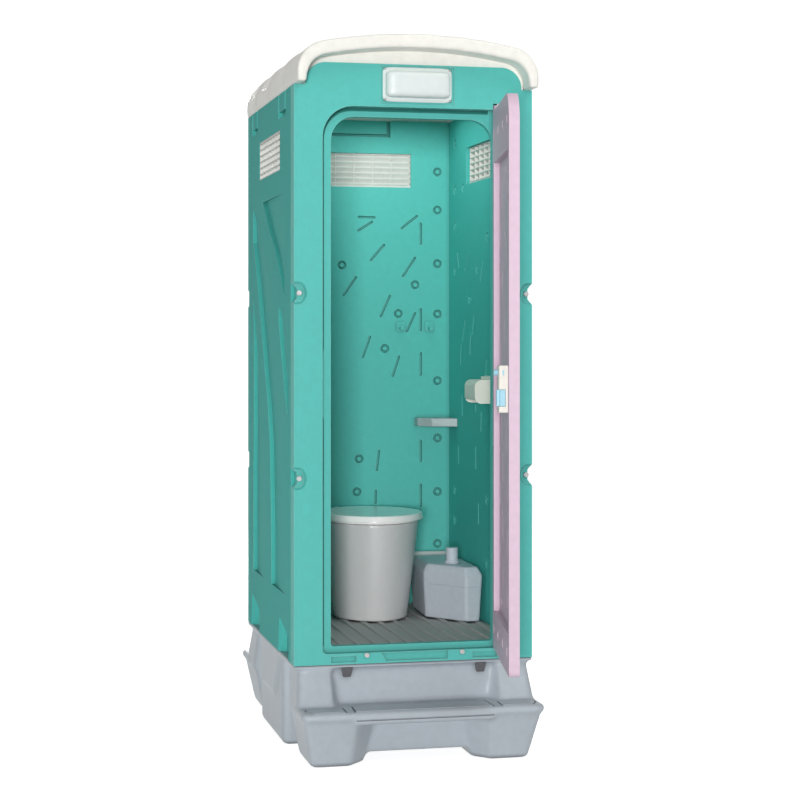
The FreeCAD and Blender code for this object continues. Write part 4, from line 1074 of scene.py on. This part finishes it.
class CABIN_OT_stage(bpy.types.Operator):
    """Make the floor, backdrop, lights and camera"""
    bl_idname = "cabin.stage"
    bl_label = "Stage"

    def execute(self, context):
        scene = bpy.context.scene
        # Ground: a sheet that is level in front and sweeps up behind as a quarter circle
        bend = np.linspace(0, math.pi / 2, 13)[1:]
        back = SWEEP_START + SWEEP_ROUND
        along = np.concatenate([np.linspace(GROUND_FRONT, SWEEP_START, 12),
                                SWEEP_START + SWEEP_ROUND * np.sin(bend), [back, back]])
        rise = np.concatenate([np.zeros(12), SWEEP_ROUND - SWEEP_ROUND * np.cos(bend),
                               [GROUND_TOP / 2, GROUND_TOP]])
        sideways = np.linspace(-GROUND_HALF, GROUND_HALF, 9)
        grid = np.stack(np.broadcast_arrays(sideways[None, :], along[:, None], rise[:, None]), -1)
        mesh = bpy.data.meshes.new("ground")
        mesh.from_pydata(grid.reshape(-1, 3).tolist(), [],
                         grid_faces(*grid.shape[:2], False, False).tolist())
        mesh.materials.append(stage_finish("pale_ground", (0.8, 0.8, 0.8), GROUND_GLOW))
        mesh.shade_smooth()
        ground = bpy.data.objects.new("ground", mesh)
        scene.collection.objects.link(ground)
        world = bpy.data.worlds.new("studio")
        scene.world = world
        world.use_nodes = True
        tree = world.node_tree
        sky = tree.nodes["Background"]
        strength = wire(tree, "ShaderNodeMapRange", [("Value", seen_directly(tree)), ("To Min", WORLD_LIGHT),
                                                     ("To Max", 1.0)])
        tree.links.new(strength.outputs["Result"], sky.inputs["Strength"])
        sky.inputs["Color"].default_value = (1, 1, 1, 1)
        for name, place, aim, size, watts, hidden in LAMPS:
            lamp(name, place, aim, size, watts, hidden)
        view = bpy.data.cameras.new("camera")
        view.lens = CAMERA_LENS
        view.sensor_width = CAMERA_SENSOR
        view.shift_y = CAMERA_SHIFT
        camera = bpy.data.objects.new("camera", view)
        scene.collection.objects.link(camera)
        camera.location = CAMERA_PLACE
        camera.rotation_euler = (math.radians(90), 0, math.radians(CAMERA_TURN))
        scene.camera = camera
        scene.view_settings.view_transform = "Standard"
        return {"FINISHED"}


class CABIN_PT_panel(bpy.types.Panel):
    """Lists the cabin's pieces and settings"""
    bl_label = "Cabin"
    bl_idname = "CABIN_PT_panel"
    bl_space_type = "VIEW_3D"
    bl_region_type = "UI"
    bl_category = "Cabin"

    def draw(self, context):
        layout = self.layout
        for settings in (context.scene.cabin_sizes, context.scene.cabin_colours):
            for key in settings.__annotations__:
                layout.prop(settings, key)
        for kind in PIECES:
            layout.operator(kind.bl_idname)


PIECES = [CABIN_OT_walls, CABIN_OT_vents, CABIN_OT_roof, CABIN_OT_door, CABIN_OT_lock, CABIN_OT_lamp,
          CABIN_OT_fasteners, CABIN_OT_tank, CABIN_OT_floor, CABIN_OT_toilet, CABIN_OT_flush,
          CABIN_OT_fittings, CABIN_OT_pump_out, CABIN_OT_stage]
CLASSES = [CabinSizes, CabinColours, *PIECES, CABIN_PT_panel]


def register():
    for kind in CLASSES:
        bpy.utils.register_class(kind)
    bpy.types.Scene.cabin_sizes = bpy.props.PointerProperty(type=CabinSizes)
    bpy.types.Scene.cabin_colours = bpy.props.PointerProperty(type=CabinColours)


def unregister():
    del bpy.types.Scene.cabin_colours
    del bpy.types.Scene.cabin_sizes
    for kind in reversed(CLASSES):
        bpy.utils.unregister_class(kind)


def main():
    register()
    for kind in PIECES:
        getattr(bpy.ops.cabin, kind.bl_idname.partition(".")[2])()


if __name__ == "__main__":
    main()
